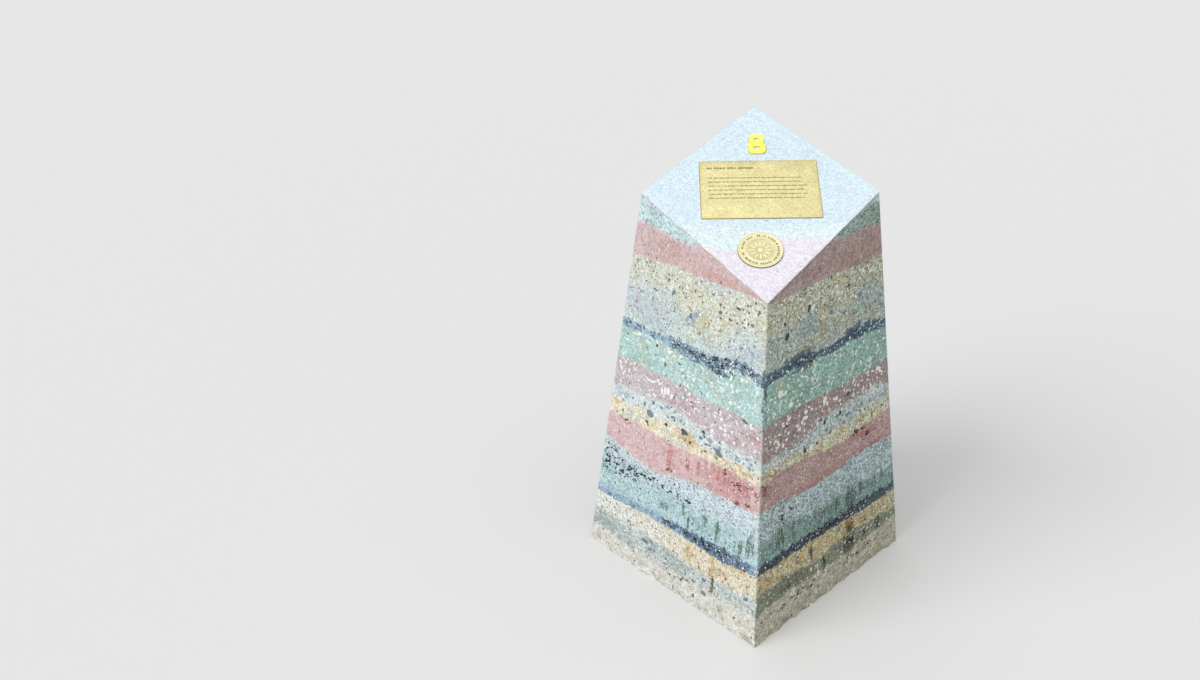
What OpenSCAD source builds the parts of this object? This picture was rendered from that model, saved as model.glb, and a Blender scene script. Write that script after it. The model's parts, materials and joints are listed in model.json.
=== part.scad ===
// A waist-high tapering marker of layered coloured concrete, ground smooth on its faces.
// It stands on its square foot with one corner towards the reader. A single sloping cut
// takes off its top and carries an inlaid plate, a medallion and a numeral.
// Frame: millimetres, +Z up, origin at the middle of the foot on the ground.
// The square plan is turned so that its corners lie on the axes: -Y is the reader's corner.

/* [Overall form] */
// Side of the square foot, across the flats, where the marker meets the ground
base_side = 454; // [430:2:560]
// Inward lean of each face, for each unit of height
face_lean = 0.1; // [0.07:0.005:0.115]
// Fall of the cut top face towards the reader, in degrees below level
top_fall = 25.2; // [18:0.2:31]
// Width of the worn flat along each arris
arris_w = 3; // [1:0.5:8]

/* [Pours from the ground up] */
// Mean depth of the rough foot
foot_depth = 58; // [48:1:90]
// Mean depth of the lower grey pour
lower_grey_depth = 40; // [30:1:70]
// Mean depth of the lower buff pour
lower_buff_depth = 43; // [25:1:70]
// Mean depth of the lower blue seam
lower_seam_depth = 21; // [14:1:40]
// Mean depth of the blue-green pour
blue_green_depth = 53; // [35:1:90]
// Mean depth of the pale grey pour
pale_grey_depth = 53; // [40:1:90]
// Mean depth of the lower red pour
lower_red_depth = 62; // [40:1:100]
// Mean depth of the ochre pour
ochre_depth = 30; // [20:1:50]
// Mean depth of the pebbly grey pour
pebbly_depth = 28; // [22:1:50]
// Mean depth of the mauve pour
mauve_depth = 57; // [40:1:90]
// Mean depth of the green pour
green_depth = 74; // [50:1:110]
// Mean depth of the upper blue seam
upper_seam_depth = 19; // [14:1:40]
// Mean depth of the mottled grey pour
mottled_depth = 57; // [42:1:90]
// Mean depth of the upper buff pour
upper_buff_depth = 73; // [58:1:110]
// Mean depth of the upper red pour
upper_red_depth = 58; // [44:1:90]
// Mean depth of the pale green pour
pale_green_depth = 38; // [34:1:60]
// Depth of the cap at the two side corners, where the cut face crosses the axis
cap_depth = 18; // [12:1:40]

/* [Brass plate] */
// Width of the plate, across the slope
plate_w = 211; // [150:1:220]
// Height of the plate, up the slope
plate_h = 138; // [100:1:150]
// Thickness of the plate
plate_t = 5; // [3:0.5:8]
// Radius of the plate's corners
plate_corner_r = 2; // [1:0.5:8]
// Distance of the plate's middle up the slope from the axis
plate_up = 5; // [-5:1:10]
// Turn of the plate off square, in degrees
plate_turn = 0.6; // [-2:0.1:2]
// Depth of the plate's face below the cut face
plate_recess = 0.4; // [0:0.1:2]
// Least depth of the cap under the plate's pocket
cap_under_plate = 4; // [3:0.5:8]

/* [Medallion] */
// Diameter of the medallion
medallion_d = 77; // [60:1:84]
// Thickness of the medallion at its rim
medallion_t = 5; // [4:0.5:8]
// Height by which its rim stands proud of the cut face
medallion_proud = 1; // [0.4:0.1:2]
// Gap down the slope from the plate to the medallion
medallion_gap = 34; // [12:1:40]
// Distance of the medallion's middle to the left of the axis
medallion_left = 6; // [0:1:12]
// Width of the raised rim
medallion_rim_w = 2.4; // [1.5:0.1:4]
// Width of the plain band inside the rim
medallion_band_w = 10; // [6:0.5:12]
// Width of the thin raised ring that closes the band
medallion_ring_w = 1.6; // [1:0.1:3]
// Depth of the sunk field below the rim
medallion_field_sunk = 1; // [0.5:0.1:1.5]
// Number of petals in the middle
petal_count = 12; // [6:1:16]
// Clearance between the petals' tips and the thin ring
petal_gap = 2; // [1:0.5:5]
// Radius of the boss in the middle
boss_r = 5; // [3:0.5:8]

/* [Numeral] */
// Height of the numeral
numeral_h = 49; // [36:1:56]
// Width of the numeral's lower bowl
numeral_w = 32; // [28:1:40]
// How much narrower the upper bowl is
numeral_taper = 4; // [0:0.5:6]
// Height of the lower bowl
lower_bowl_h = 28; // [24:0.5:30]
// Overlap of the two bowls at the waist
waist_h = 5; // [3:0.5:7]
// Width of the opening in the lower bowl
lower_eye_w = 12; // [8:0.5:14]
// Height of the opening in the lower bowl
lower_eye_h = 9; // [7:0.5:11]
// Width of the opening in the upper bowl
upper_eye_w = 9; // [7:0.5:11]
// Height of the opening in the upper bowl
upper_eye_h = 8; // [7:0.5:9]
// Depth to which the numeral is let in
numeral_t = 4; // [2:0.5:6]
// Gap up the slope from the plate to the numeral
numeral_gap = 17.5; // [8:0.5:22]

/* [Fit] */
// Clearance round each inlaid piece
inlay_clear = 0.6; // [0.3:0.1:1.5]

/* [Hidden] */
// Height of each pour's upper surface above its mean, at thirteen even stations: from the
// left corner to the front corner and on to the right corner. The hidden half mirrors them.
foot_wave = [-16, -18, -17, -10, -5, 2, 7, 12, 10, 10, 6, 8, 12];
lower_grey_wave = [-16, -4, -3, -7, -11, -2, 7, 12, 2, 2, 6, -1, -6];
lower_buff_wave = [-14, -8, -4, -1, -1, 0, 9, 9, 8, 2, 0, -4, -4];
lower_seam_wave = [-15, -14, -9, -2, 2, 8, 9, 9, 5, 2, 0, -4, -10];
blue_green_wave = [7, 5, 5, 4, 6, 5, 5, 4, 0, -4, -10, -15, -20];
pale_grey_wave = [-3, -17, -23, -8, 2, 3, 12, 9, -1, -1, 6, 3, -1];
lower_red_wave = [-10, -4, -5, -8, -1, 5, 6, 9, 6, -5, -9, -1, 0];
ochre_wave = [-5, -1, 2, 7, -7, -4, -4, 3, -2, 4, -3, 5, 5];
pebbly_wave = [4, 4, 7, 9, -5, -8, -10, -11, -5, 9, 11, 8, 0];
mauve_wave = [2, 2, 3, 6, 0, 4, 2, 5, 0, -1, -3, -5, -8];
green_wave = [-5, -3, -2, -9, -7, 11, 4, 8, 4, 1, 1, -4, -9];
upper_seam_wave = [-8, -11, -4, -1, -3, 14, 5, 9, 9, -6, 1, 2, -8];
mottled_wave = [20, 20, 3, -20, -27, 1, 15, -15, 35, -15, -10, 22, 0];
upper_buff_wave = [-3, -3, 1, 2, 4, 6, 2, 2, 0, -2, -4, -7, -8];
upper_red_wave = [1, -1, -8, 2, -1, -4, 2, 14, 12, 9, 4, 1, -4];

// The cap holds the whole plate, so the pale green pour sinks to clear the plate's lower corners
pale_green_sink = (plate_h / 2 + inlay_clear - plate_up) * sin(top_fall)
    + (plate_recess + plate_t) * cos(top_fall) + cap_under_plate - cap_depth;
pale_green_wave = [
    for (share = [0, 0.4, 0.85, 1, 0.95, 0.8, 0.7, 0.8, 0.95, 1, 0.85, 0.4, 0])
        -share * pale_green_sink
];
// How much further it sinks in the middle than at the plate's lower corners
core_sag = 6;

// Height of the small ripple that runs round every joint between pours
ripple_h = 1.2;
// Flat pieces from corner to corner of each face, a multiple of the six gaps between stations
face_steps = 24;
// Fineness of the round work
$fn = 96;

// Every pour from the ground up: its name, its depth and the wave of its upper surface
POURS = [
    ["foot", foot_depth, foot_wave],
    ["lower grey", lower_grey_depth, lower_grey_wave],
    ["lower buff", lower_buff_depth, lower_buff_wave],
    ["lower seam", lower_seam_depth, lower_seam_wave],
    ["blue-green", blue_green_depth, blue_green_wave],
    ["pale grey", pale_grey_depth, pale_grey_wave],
    ["lower red", lower_red_depth, lower_red_wave],
    ["ochre", ochre_depth, ochre_wave],
    ["pebbly", pebbly_depth, pebbly_wave],
    ["mauve", mauve_depth, mauve_wave],
    ["green", green_depth, green_wave],
    ["upper seam", upper_seam_depth, upper_seam_wave],
    ["mottled", mottled_depth, mottled_wave],
    ["upper buff", upper_buff_depth, upper_buff_wave],
    ["upper red", upper_red_depth, upper_red_wave],
    ["pale green", pale_green_depth, pale_green_wave],
    ["cap", cap_depth]
];

stations_per_face = 6;
stations_round = 4 * stations_per_face;
stations_front = 2 * stations_per_face;
ring_size = 4 * (face_steps + 1);
// Leg of the worn flat, along each of the two faces that it joins
arris_leg = arris_w / sqrt(2);

// Place of a pour, counted from the ground
function place(name) = search([name], POURS)[0];

// Mean height of the top of the first n pours
function bed_height(n) = n <= 0 ? 0 : bed_height(n - 1) + POURS[n - 1][1];

// Height at which the cut face crosses the axis, which is that of the two side corners
cut_height = bed_height(len(POURS));

// Half the width of the marker across the flats, at a height
function half_side(z) = base_side / 2 - face_lean * z;

// Corners of the cut face, as distances from the axis: sideways, and up and down the slope
side_reach = half_side(cut_height) * sqrt(2);
lean_share = sqrt(2) * face_lean * tan(top_fall);
down_reach = side_reach / (1 - lean_share) / cos(top_fall);
up_reach = side_reach / (1 + lean_share) / cos(top_fall);

// Circle that touches the four edges of the cut face, from which its worn flats are set out
up_edge = norm([side_reach, up_reach]);
down_edge = norm([side_reach, down_reach]);
touch_up = (up_reach * down_edge - down_reach * up_edge) / (up_edge + down_edge);
touch_r = (up_reach - touch_up) * side_reach / up_edge;

// Places of the inlaid pieces up the slope from the axis
medallion_up = plate_up - plate_h / 2 - medallion_gap - medallion_d / 2;
numeral_up = plate_up + plate_h / 2 + numeral_gap + numeral_h / 2;

// Radii of the medallion, from the rim inwards
medallion_r = medallion_d / 2;
band_r = medallion_r - medallion_rim_w;
ring_r = band_r - medallion_band_w;
field_r = ring_r - medallion_ring_w;
petal_len = field_r - petal_gap - boss_r / 2;

// Height of the thin ring and of the petals above the sunk field
relief_h = medallion_field_sunk / 2;

// Rounding of the numeral's bowls and of the openings in them
bowl_round = 10;
eye_round = 3;

// Value of a wave at a whole station, mirrored behind the side corners
function station(wave, n) =
    let (m = (n + stations_round) % stations_round)
    wave[m <= stations_front ? m : stations_round - m];

// Smooth curve through four stations, at a share f of the way from b to c
function curve(a, b, c, d, f) =
    b + f * ((c - a) + f * ((2 * a - 5 * b + 4 * c - d) + f * (3 * b - a - 3 * c + d))) / 2;

// Wave between the stations, at any place s round the marker
function wave_at(wave, s) =
    let (n = floor(s))
    curve(station(wave, n - 1), station(wave, n), station(wave, n + 1), station(wave, n + 2), s - n);

// Small uneven ripple of the n-th joint, which closes on itself round the marker
function ripple(n, s) =
    let (turn = 360 * s / stations_round)
    ripple_h * (sin(7 * turn + 67 * n) + 0.6 * sin(13 * turn + 31 * n));

// Height of the top of the first n pours, at any place s round the marker
function joint_height(n, s) =
    n == 0 ? 0
        : n == len(POURS) ? above_all
        : bed_height(n) + wave_at(POURS[n - 1][2], s) + ripple(n, s);

// Height of the same joint on the axis
function joint_core(n) =
    n == 0 ? 0
        : n == len(POURS) ? above_all
        : bed_height(n) - (n == place("cap") ? pale_green_sink + core_sag : 0);

// A height that clears the highest corner
above_all = cut_height + up_reach * sin(top_fall) + arris_w;

// Point on a leaning face: face 0 is the left one, and the others follow round to the right.
// The share t runs from -1 to 1 between the face's two arrises.
function face_point(face, t, z) =
    let (turn = 90 * face - 135, half = half_side(z), run = t * (half - arris_leg))
    [half * cos(turn) - run * sin(turn), half * sin(turn) + run * cos(turn), z];

// Outline of the n-th joint, all round the marker
function joint_ring(n) = [
    for (face = [0:3])
        for (i = [0:face_steps])
            face_point(
                face,
                2 * i / face_steps - 1,
                joint_height(n, stations_per_face * (face + i / face_steps))
            )
];

// One pour, between the joint below it and the joint above it
module bed(name) {
    n = place(name);
    low_core = 2 * ring_size;
    high_core = low_core + 1;
    polyhedron(
        points = concat(
            joint_ring(n),
            joint_ring(n + 1),
            [[0, 0, joint_core(n)], [0, 0, joint_core(n + 1)]]
        ),
        faces = [
            for (i = [0:ring_size - 1])
                let (next = (i + 1) % ring_size)
                each [
                    [i, ring_size + i, ring_size + next],
                    [i, ring_size + next, next],
                    [low_core, i, next],
                    [high_core, ring_size + next, ring_size + i]
                ]
        ]
    );
}

// Puts its children on the cut face: x across it, y up the slope, z out of it
module on_cut_face() {
    translate([0, 0, cut_height])
        rotate([top_fall, 0, 0])
            children();
}

// Everything below the cut face and inside the worn flats along its edges
module below_cut() {
    inset = 1 - arris_leg / touch_r;
    apex = touch_r * inset;
    reach = 2 * (cut_height + base_side) / apex;
    corners = [[0, -down_reach], [side_reach, 0], [0, up_reach], [-side_reach, 0]];
    rim = [for (c = corners) [c[0] * inset, touch_up + (c[1] - touch_up) * inset]];
    on_cut_face()
        polyhedron(
            points = concat(
                [for (p = rim) [p[0], p[1], 0]],
                [
                    for (p = rim)
                        [p[0] * reach, touch_up + (p[1] - touch_up) * reach, apex * (1 - reach)]
                ]
            ),
            faces = [
                [3, 2, 1, 0], [4, 5, 6, 7],
                [0, 1, 5, 4], [1, 2, 6, 5], [2, 3, 7, 6], [3, 0, 4, 7]
            ]
        );
}

// Flat plate outline with round corners
module round_rect(w, h, r) {
    square([w - 2 * r, h], center = true);
    square([w, h - 2 * r], center = true);
    for (x = [-1, 1])
        for (y = [-1, 1])
            translate([x * (w / 2 - r), y * (h / 2 - r)])
                circle(r = r);
}

// Outline of the plate, grown by a clearance
module plate_outline(grow = 0) {
    round_rect(plate_w + 2 * grow, plate_h + 2 * grow, plate_corner_r + grow);
}

// Outline of the figure eight, grown by a clearance that also narrows its openings
module numeral_outline(grow = 0) {
    upper_bowl_w = numeral_w - numeral_taper;
    upper_bowl_h = numeral_h - lower_bowl_h + waist_h;
    low_mid = (lower_bowl_h - numeral_h) / 2;
    high_mid = (numeral_h - upper_bowl_h) / 2;
    difference() {
        union() {
            translate([0, low_mid])
                round_rect(numeral_w + 2 * grow, lower_bowl_h + 2 * grow, bowl_round + grow);
            translate([0, high_mid])
                round_rect(upper_bowl_w + 2 * grow, upper_bowl_h + 2 * grow, bowl_round + grow);
        }
        translate([0, low_mid])
            round_rect(lower_eye_w - 2 * grow, lower_eye_h - 2 * grow, eye_round - grow);
        translate([0, high_mid])
            round_rect(upper_eye_w - 2 * grow, upper_eye_h - 2 * grow, eye_round - grow);
    }
}

// Recesses in the cut face for the three inlaid pieces
module inlay_pockets() {
    on_cut_face() {
        translate([0, plate_up, -plate_recess - plate_t])
            rotate(plate_turn)
                linear_extrude(plate_recess + 2 * plate_t)
                    plate_outline(inlay_clear);
        translate([-medallion_left, medallion_up, medallion_proud - medallion_t])
            cylinder(h = 2 * medallion_t, r = medallion_r + inlay_clear);
        translate([0, numeral_up, -numeral_t])
            linear_extrude(2 * numeral_t)
                numeral_outline(inlay_clear);
    }
}

// One of the upper pours, taken off by the sloping cut
module cut_bed(name) {
    intersection() {
        bed(name);
        below_cut();
    }
}

// A pour that shows in the cut face and has the inlaid pieces let into it
module inlaid_bed(name) {
    difference() {
        cut_bed(name);
        inlay_pockets();
    }
}

module rough_foot() {
    color("#cfcabc") bed("foot");
}

module lower_grey_pour() {
    color("#8f9fa6") bed("lower grey");
}

module lower_buff_pour() {
    color("#d3c39f") bed("lower buff");
}

module lower_blue_seam() {
    color("#56687f") bed("lower seam");
}

module blue_green_pour() {
    color("#9fbdb6") bed("blue-green");
}

module pale_grey_pour() {
    color("#b3c1c6") bed("pale grey");
}

module lower_red_pour() {
    color("#bf7f7b") bed("lower red");
}

module ochre_pour() {
    color("#d3bb82") bed("ochre");
}

module pebbly_grey_pour() {
    color("#b9c3c6") bed("pebbly");
}

module mauve_pour() {
    color("#bd9a9c") bed("mauve");
}

module green_pour() {
    color("#9fbaa4") bed("green");
}

module upper_blue_seam() {
    color("#5a6a80") bed("upper seam");
}

module mottled_grey_pour() {
    color("#b4b6b0") bed("mottled");
}

module upper_buff_pour() {
    color("#c9bb9a") cut_bed("upper buff");
}

module upper_red_pour() {
    color("#bd8880") inlaid_bed("upper red");
}

module pale_green_pour() {
    color("#a3b5a6") inlaid_bed("pale green");
}

module cap_pour() {
    color("#d8e2ee") inlaid_bed("cap");
}

module brass_plate() {
    color("#dcc878")
        on_cut_face()
            translate([0, plate_up, -plate_recess - plate_t])
                rotate(plate_turn)
                    linear_extrude(plate_t)
                        plate_outline();
}

// Half section of the medallion, from the axis outwards
module medallion_section() {
    field = medallion_t - medallion_field_sunk;
    square([medallion_r, field]);
    translate([band_r, 0])
        square([medallion_rim_w, medallion_t]);
    translate([field_r, 0])
        square([medallion_ring_w, field + relief_h]);
}

// One raised petal along +X, between two equal arcs that meet at its tips
module petal() {
    width = 2 * PI * (petal_len / 2 + boss_r / 2) / petal_count;
    arc_r = (petal_len * petal_len / 4 + width * width / 4) / width;
    translate([boss_r / 2 + petal_len / 2, 0])
        intersection() {
            translate([0, arc_r - width / 2])
                circle(r = arc_r);
            translate([0, width / 2 - arc_r])
                circle(r = arc_r);
        }
}

module medallion() {
    field = medallion_t - medallion_field_sunk;
    color("#dcc878")
        on_cut_face()
            translate([-medallion_left, medallion_up, medallion_proud - medallion_t]) {
                rotate_extrude()
                    medallion_section();
                linear_extrude(field + relief_h)
                    for (i = [0:petal_count - 1])
                        rotate(360 * i / petal_count)
                            petal();
                cylinder(h = medallion_t, r = boss_r);
            }
}

module numeral_eight() {
    color("#f6ee3c")
        on_cut_face()
            translate([0, numeral_up, -numeral_t])
                linear_extrude(numeral_t)
                    numeral_outline();
}

rough_foot();
lower_grey_pour();
lower_buff_pour();
lower_blue_seam();
blue_green_pour();
pale_grey_pour();
lower_red_pour();
ochre_pour();
pebbly_grey_pour();
mauve_pour();
green_pour();
upper_blue_seam();
mottled_grey_pour();
upper_buff_pour();
upper_red_pour();
pale_green_pour();
cap_pour();
brass_plate();
medallion();
numeral_eight();
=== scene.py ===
"""A waist-high marker of layered coloured concrete, dressed for show.

Every pour stands in for its plain solid with a finely divided skin: ragged joints, pits, worn
arrises, and stones let into the ground faces. The plate, the medallion and the numeral lie in
pockets in the sloping cut face. Lengths are in metres. Marks and stones are listed in
millimetres, with their place along a face counted from its middle and their height from the
ground.
"""

import json
import math
import random
from collections import namedtuple
from contextlib import contextmanager

import bpy
import numpy as np
from mathutils import Matrix, Vector, kdtree, noise

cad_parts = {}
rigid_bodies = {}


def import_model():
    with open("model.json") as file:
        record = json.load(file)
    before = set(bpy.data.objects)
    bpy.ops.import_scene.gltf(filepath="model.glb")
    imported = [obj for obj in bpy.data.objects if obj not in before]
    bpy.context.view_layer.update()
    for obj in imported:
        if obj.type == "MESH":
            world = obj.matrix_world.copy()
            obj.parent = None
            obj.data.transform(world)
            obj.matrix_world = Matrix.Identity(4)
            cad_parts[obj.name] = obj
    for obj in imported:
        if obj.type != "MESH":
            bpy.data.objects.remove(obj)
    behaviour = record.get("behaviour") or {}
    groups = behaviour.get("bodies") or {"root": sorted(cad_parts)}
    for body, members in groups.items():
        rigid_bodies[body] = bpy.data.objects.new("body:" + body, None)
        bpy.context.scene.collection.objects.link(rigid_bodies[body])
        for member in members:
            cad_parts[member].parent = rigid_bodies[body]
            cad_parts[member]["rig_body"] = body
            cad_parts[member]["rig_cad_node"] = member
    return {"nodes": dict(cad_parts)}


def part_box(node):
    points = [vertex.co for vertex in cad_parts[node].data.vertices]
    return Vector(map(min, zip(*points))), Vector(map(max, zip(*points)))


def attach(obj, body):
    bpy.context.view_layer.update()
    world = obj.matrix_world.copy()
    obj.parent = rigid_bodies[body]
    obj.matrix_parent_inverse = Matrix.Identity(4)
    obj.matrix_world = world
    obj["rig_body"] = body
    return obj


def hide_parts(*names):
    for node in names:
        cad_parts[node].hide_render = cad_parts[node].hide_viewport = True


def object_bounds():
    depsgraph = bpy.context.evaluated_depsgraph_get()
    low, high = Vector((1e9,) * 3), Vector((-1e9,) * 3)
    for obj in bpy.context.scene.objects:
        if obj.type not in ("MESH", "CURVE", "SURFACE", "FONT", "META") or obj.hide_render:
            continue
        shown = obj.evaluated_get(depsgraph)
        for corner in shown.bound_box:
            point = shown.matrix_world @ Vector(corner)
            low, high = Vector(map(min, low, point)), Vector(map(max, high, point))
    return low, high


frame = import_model()
cad_low, cad_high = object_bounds()
bpy.ops.object.select_all(action="DESELECT")

MM = 0.001

Pour = namedtuple("Pour", "name row tint depth length run")
# The pours from the ground up, in millimetres: name, height of one row of the skin, colour of
# 0 to 255 as it is seen under plain light, and then the joint above: depth and length of its
# ragged waves, and the width over which the colours of the two pours run into each other
POURS = [Pour(*row) for row in [
    ("rough_foot", 2.6, (228, 227, 219), 6, 24, 5),
    ("lower_grey_pour", 3.0, (200, 210, 207), 7, 24, 5),
    ("lower_buff_pour", 3.2, (232, 236, 228), 4, 14, 1.5),
    ("lower_blue_seam", 2.2, (156, 184, 206), 7, 12, 2.5),
    ("blue_green_pour", 2.6, (187, 218, 224), 6, 24, 24),
    ("pale_grey_pour", 2.6, (211, 226, 232), 5, 12, 2),
    ("lower_red_pour", 2.6, (225, 194, 196), 4, 12, 2.5),
    ("ochre_pour", 3.2, (239, 232, 207), 8, 20, 7),
    ("pebbly_grey_pour", 3.2, (222, 233, 232), 6, 16, 6),
    ("mauve_pour", 3.2, (207, 197, 200), 3, 12, 2),
    ("green_pour", 3.6, (188, 222, 220), 5, 14, 2),
    ("upper_blue_seam", 2.0, (178, 208, 226), 6, 10, 3),
    ("mottled_grey_pour", 3.2, (209, 226, 224), 6, 24, 20),
    ("upper_buff_pour", 3.2, (218, 222, 206), 2.5, 14, 2),
    ("upper_red_pour", 3.0, (217, 193, 197), 6, 22, 6),
    ("pale_green_pour", 3.0, (209, 234, 237), 4, 20, 10),
    ("cap_pour", 4.0, (206, 222, 228), 0, 0, 0),
]]
NAMES = [pour.name for pour in POURS]
# The pours that the sloping cut reaches
CUT_POURS = NAMES[-3:]
LEAST_POUR = 4 * MM

# Columns of the skin across each face and round each arris
FACE_STEPS = 176
ARRIS_STEPS = 6

LEFT, RIGHT = 0, 1


# Tools for modelling


def mesh_arrays(piece):
    """A mesh's corner points, and each face's middle, normal and area."""
    mesh = piece.data
    points = np.empty(len(mesh.vertices) * 3)
    mesh.vertices.foreach_get("co", points)
    middles = np.empty(len(mesh.polygons) * 3)
    mesh.polygons.foreach_get("center", middles)
    normals = np.empty(len(mesh.polygons) * 3)
    mesh.polygons.foreach_get("normal", normals)
    areas = np.empty(len(mesh.polygons))
    mesh.polygons.foreach_get("area", areas)
    return points.reshape(-1, 3), middles.reshape(-1, 3), normals.reshape(-1, 3), areas


def only(piece):
    """Selects one piece and makes it the active one."""
    bpy.ops.object.select_all(action="DESELECT")
    piece.select_set(True)
    bpy.context.view_layer.objects.active = piece


@contextmanager
def edit_mode(piece, kind="FACE"):
    """Edit mode on one piece, with its vertices, edges or faces as they were picked."""
    only(piece)
    flags = tuple(kind == k for k in ("VERT", "EDGE", "FACE"))
    bpy.context.tool_settings.mesh_select_mode = flags
    bpy.ops.object.mode_set(mode="EDIT")
    yield
    bpy.ops.object.mode_set(mode="OBJECT")


def pick(piece, kind, wanted=None):
    """Selects the vertices, edges or faces of a piece that a list of true and false says."""
    mesh = piece.data
    for name, parts in (("VERT", mesh.vertices), ("EDGE", mesh.edges), ("FACE", mesh.polygons)):
        chosen = np.zeros(len(parts), bool)
        if name == kind:
            chosen = np.ones(len(parts), bool) if wanted is None else np.asarray(wanted, bool)
        parts.foreach_set("select", chosen)


def pick_uprights(piece):
    """Selects the edges of an upright shape that run from its bottom to its top."""
    points = mesh_arrays(piece)[0]
    ends = np.empty(len(piece.data.edges) * 2, int)
    piece.data.edges.foreach_get("vertices", ends)
    rise = np.ptp(points[ends.reshape(-1, 2), 2], axis=1)
    pick(piece, "EDGE", rise > np.ptp(points[:, 2]) / 2)


def pick_top(piece):
    """Selects the faces that look up."""
    pick(piece, "FACE", mesh_arrays(piece)[2][:, 2] > 0.9)


def apply_modifier(piece, kind, **settings):
    """Adds a modifier to a piece and applies it."""
    modifier = piece.modifiers.new(kind.title(), kind)
    for name, value in settings.items():
        setattr(modifier, name, value)
    only(piece)
    bpy.ops.object.modifier_apply(modifier=modifier.name)


def soften(piece, width, segments, degrees):
    """Rounds the edges that are sharper than an angle."""
    apply_modifier(
        piece, "BEVEL", width=width, segments=segments, limit_method="ANGLE",
        angle_limit=math.radians(degrees),
    )


def smooth(piece, degrees=20):
    """Smooth shading up to an angle."""
    only(piece)
    bpy.ops.object.shade_smooth_by_angle(angle=math.radians(degrees))


def seat(piece, matrix):
    """Puts a piece that was modelled at the origin in its place, within its mesh."""
    piece.data.transform(matrix)
    piece.matrix_world = Matrix.Identity(4)


def join(piece, others):
    """Joins other pieces into one."""
    bpy.ops.object.select_all(action="DESELECT")
    for other in others:
        other.select_set(True)
    piece.select_set(True)
    bpy.context.view_layer.objects.active = piece
    bpy.ops.object.join()


def coat(piece, *materials):
    """Gives a piece its materials, in the order of their slots."""
    piece.data.materials.clear()
    for material in materials:
        piece.data.materials.append(material)


def copy_of(piece, matrix, material=None):
    """A copy of a piece with its own mesh, put in place."""
    mesh = piece.data.copy()
    mesh.transform(matrix)
    made = bpy.data.objects.new(piece.name, mesh)
    bpy.context.scene.collection.objects.link(made)
    if material:
        coat(made, material)
    return made


# The marker's own form, read from the frame


def plane_of(node, towards, within=8.0):
    """Mean point and normal of the faces of a node that look nearly in one direction."""
    _, middles, normals, areas = mesh_arrays(frame["nodes"][node])
    aim = np.array(towards) / np.linalg.norm(towards)
    weight = np.where(normals @ aim > math.cos(math.radians(within)), areas, 0)
    normal = weight @ normals
    return weight @ middles / weight.sum(), normal / np.linalg.norm(normal)


wall_point, wall_normal = plane_of("rough_foot", (-1, -1, 0.14))
LEAN = wall_normal[2] / np.hypot(wall_normal[0], wall_normal[1])
FOOT_HALF = wall_point @ wall_normal / np.hypot(wall_normal[0], wall_normal[1])
_, foot_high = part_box("rough_foot")
ARRIS_W = 2 * (math.sqrt(2) * FOOT_HALF - foot_high.x)
# Radius of the worn arris, which touches the middle of the solid's own worn flat
ARRIS_R = ARRIS_W / 2 / (math.sqrt(2) - 1)

cut_point, cut_normal = plane_of("cap_pour", (0, -0.43, 0.9))
FALL = math.atan2(-cut_normal[1], cut_normal[2])
CUT_HEIGHT = cut_point[2] + cut_point[1] * cut_normal[1] / cut_normal[2]
ACROSS = Vector((1, 0, 0))
UPHILL = Vector((0, math.cos(FALL), math.sin(FALL)))
OUT_OF_CUT = Vector((0, -math.sin(FALL), math.cos(FALL)))
CUT_MIDDLE = Vector((0, 0, CUT_HEIGHT))
ON_CUT = Matrix.Translation(CUT_MIDDLE) @ Matrix.Rotation(FALL, 4, "X")

FACE_NORMALS = np.array([
    (math.cos(math.radians(90 * f - 135)), math.sin(math.radians(90 * f - 135)), 0)
    for f in range(5)
])


def half_side(height):
    """Half the marker's width across the flats, at a height."""
    return FOOT_HALF - LEAN * height


# One column of the skin for each place round the marker, from the left corner to the front
# corner and on. A column's place is its face's normal and the next face's, times these shares
# of the half width and of the arris radius.
COLUMN_FACE, COLUMN_SHARES = [], []
for face_number in range(4):
    for step in range(FACE_STEPS + 1):
        share = 2 * step / FACE_STEPS - 1
        COLUMN_FACE.append(face_number)
        COLUMN_SHARES.append((1, 0, share, -share))
    for step in range(1, ARRIS_STEPS):
        turn = math.pi / 2 * step / ARRIS_STEPS
        COLUMN_FACE.append(face_number)
        COLUMN_SHARES.append((1, math.cos(turn) - 1, 1, math.sin(turn) - 1))
COLUMN_FACE = np.array(COLUMN_FACE)
COLUMN_SHARES = np.array(COLUMN_SHARES)
COLUMNS = len(COLUMN_FACE)


def skin_point(column, height):
    """Points of the skin for columns and heights."""
    half = half_side(height)
    shares = COLUMN_SHARES[column]
    out = half * shares[:, 0] + ARRIS_R * shares[:, 1]
    along = half * shares[:, 2] + ARRIS_R * shares[:, 3]
    points = out[:, None] * FACE_NORMALS[COLUMN_FACE[column]]
    points += along[:, None] * FACE_NORMALS[COLUMN_FACE[column] + 1]
    points[:, 2] = height
    return points


ALL_COLUMNS = skin_point(np.arange(COLUMNS), np.full(COLUMNS, CUT_HEIGHT / 2))
BEARINGS = np.arctan2(ALL_COLUMNS[:, 1], ALL_COLUMNS[:, 0])


def face_of(points):
    """Face number, place along that face and height, for points on the skin."""
    face_number = (points @ FACE_NORMALS[:4].T).argmax(1)
    along = (points * FACE_NORMALS[face_number + 1]).sum(1)
    return face_number, along, points[:, 2]


def on_face(face_number, along, height):
    """Point on a flat face, with the directions out of it, along it and up it."""
    normal = Vector(FACE_NORMALS[face_number])
    tangent = Vector(FACE_NORMALS[face_number + 1])
    point = normal * half_side(height) + tangent * along + Vector((0, 0, height))
    out = (normal + Vector((0, 0, LEAN))).normalized()
    return point, out, tangent, out.cross(tangent)


# Joints between the pours

# Corners of two pours that are nearer than this are one corner of their joint
SAME_PLACE = 0.02 * MM


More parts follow.
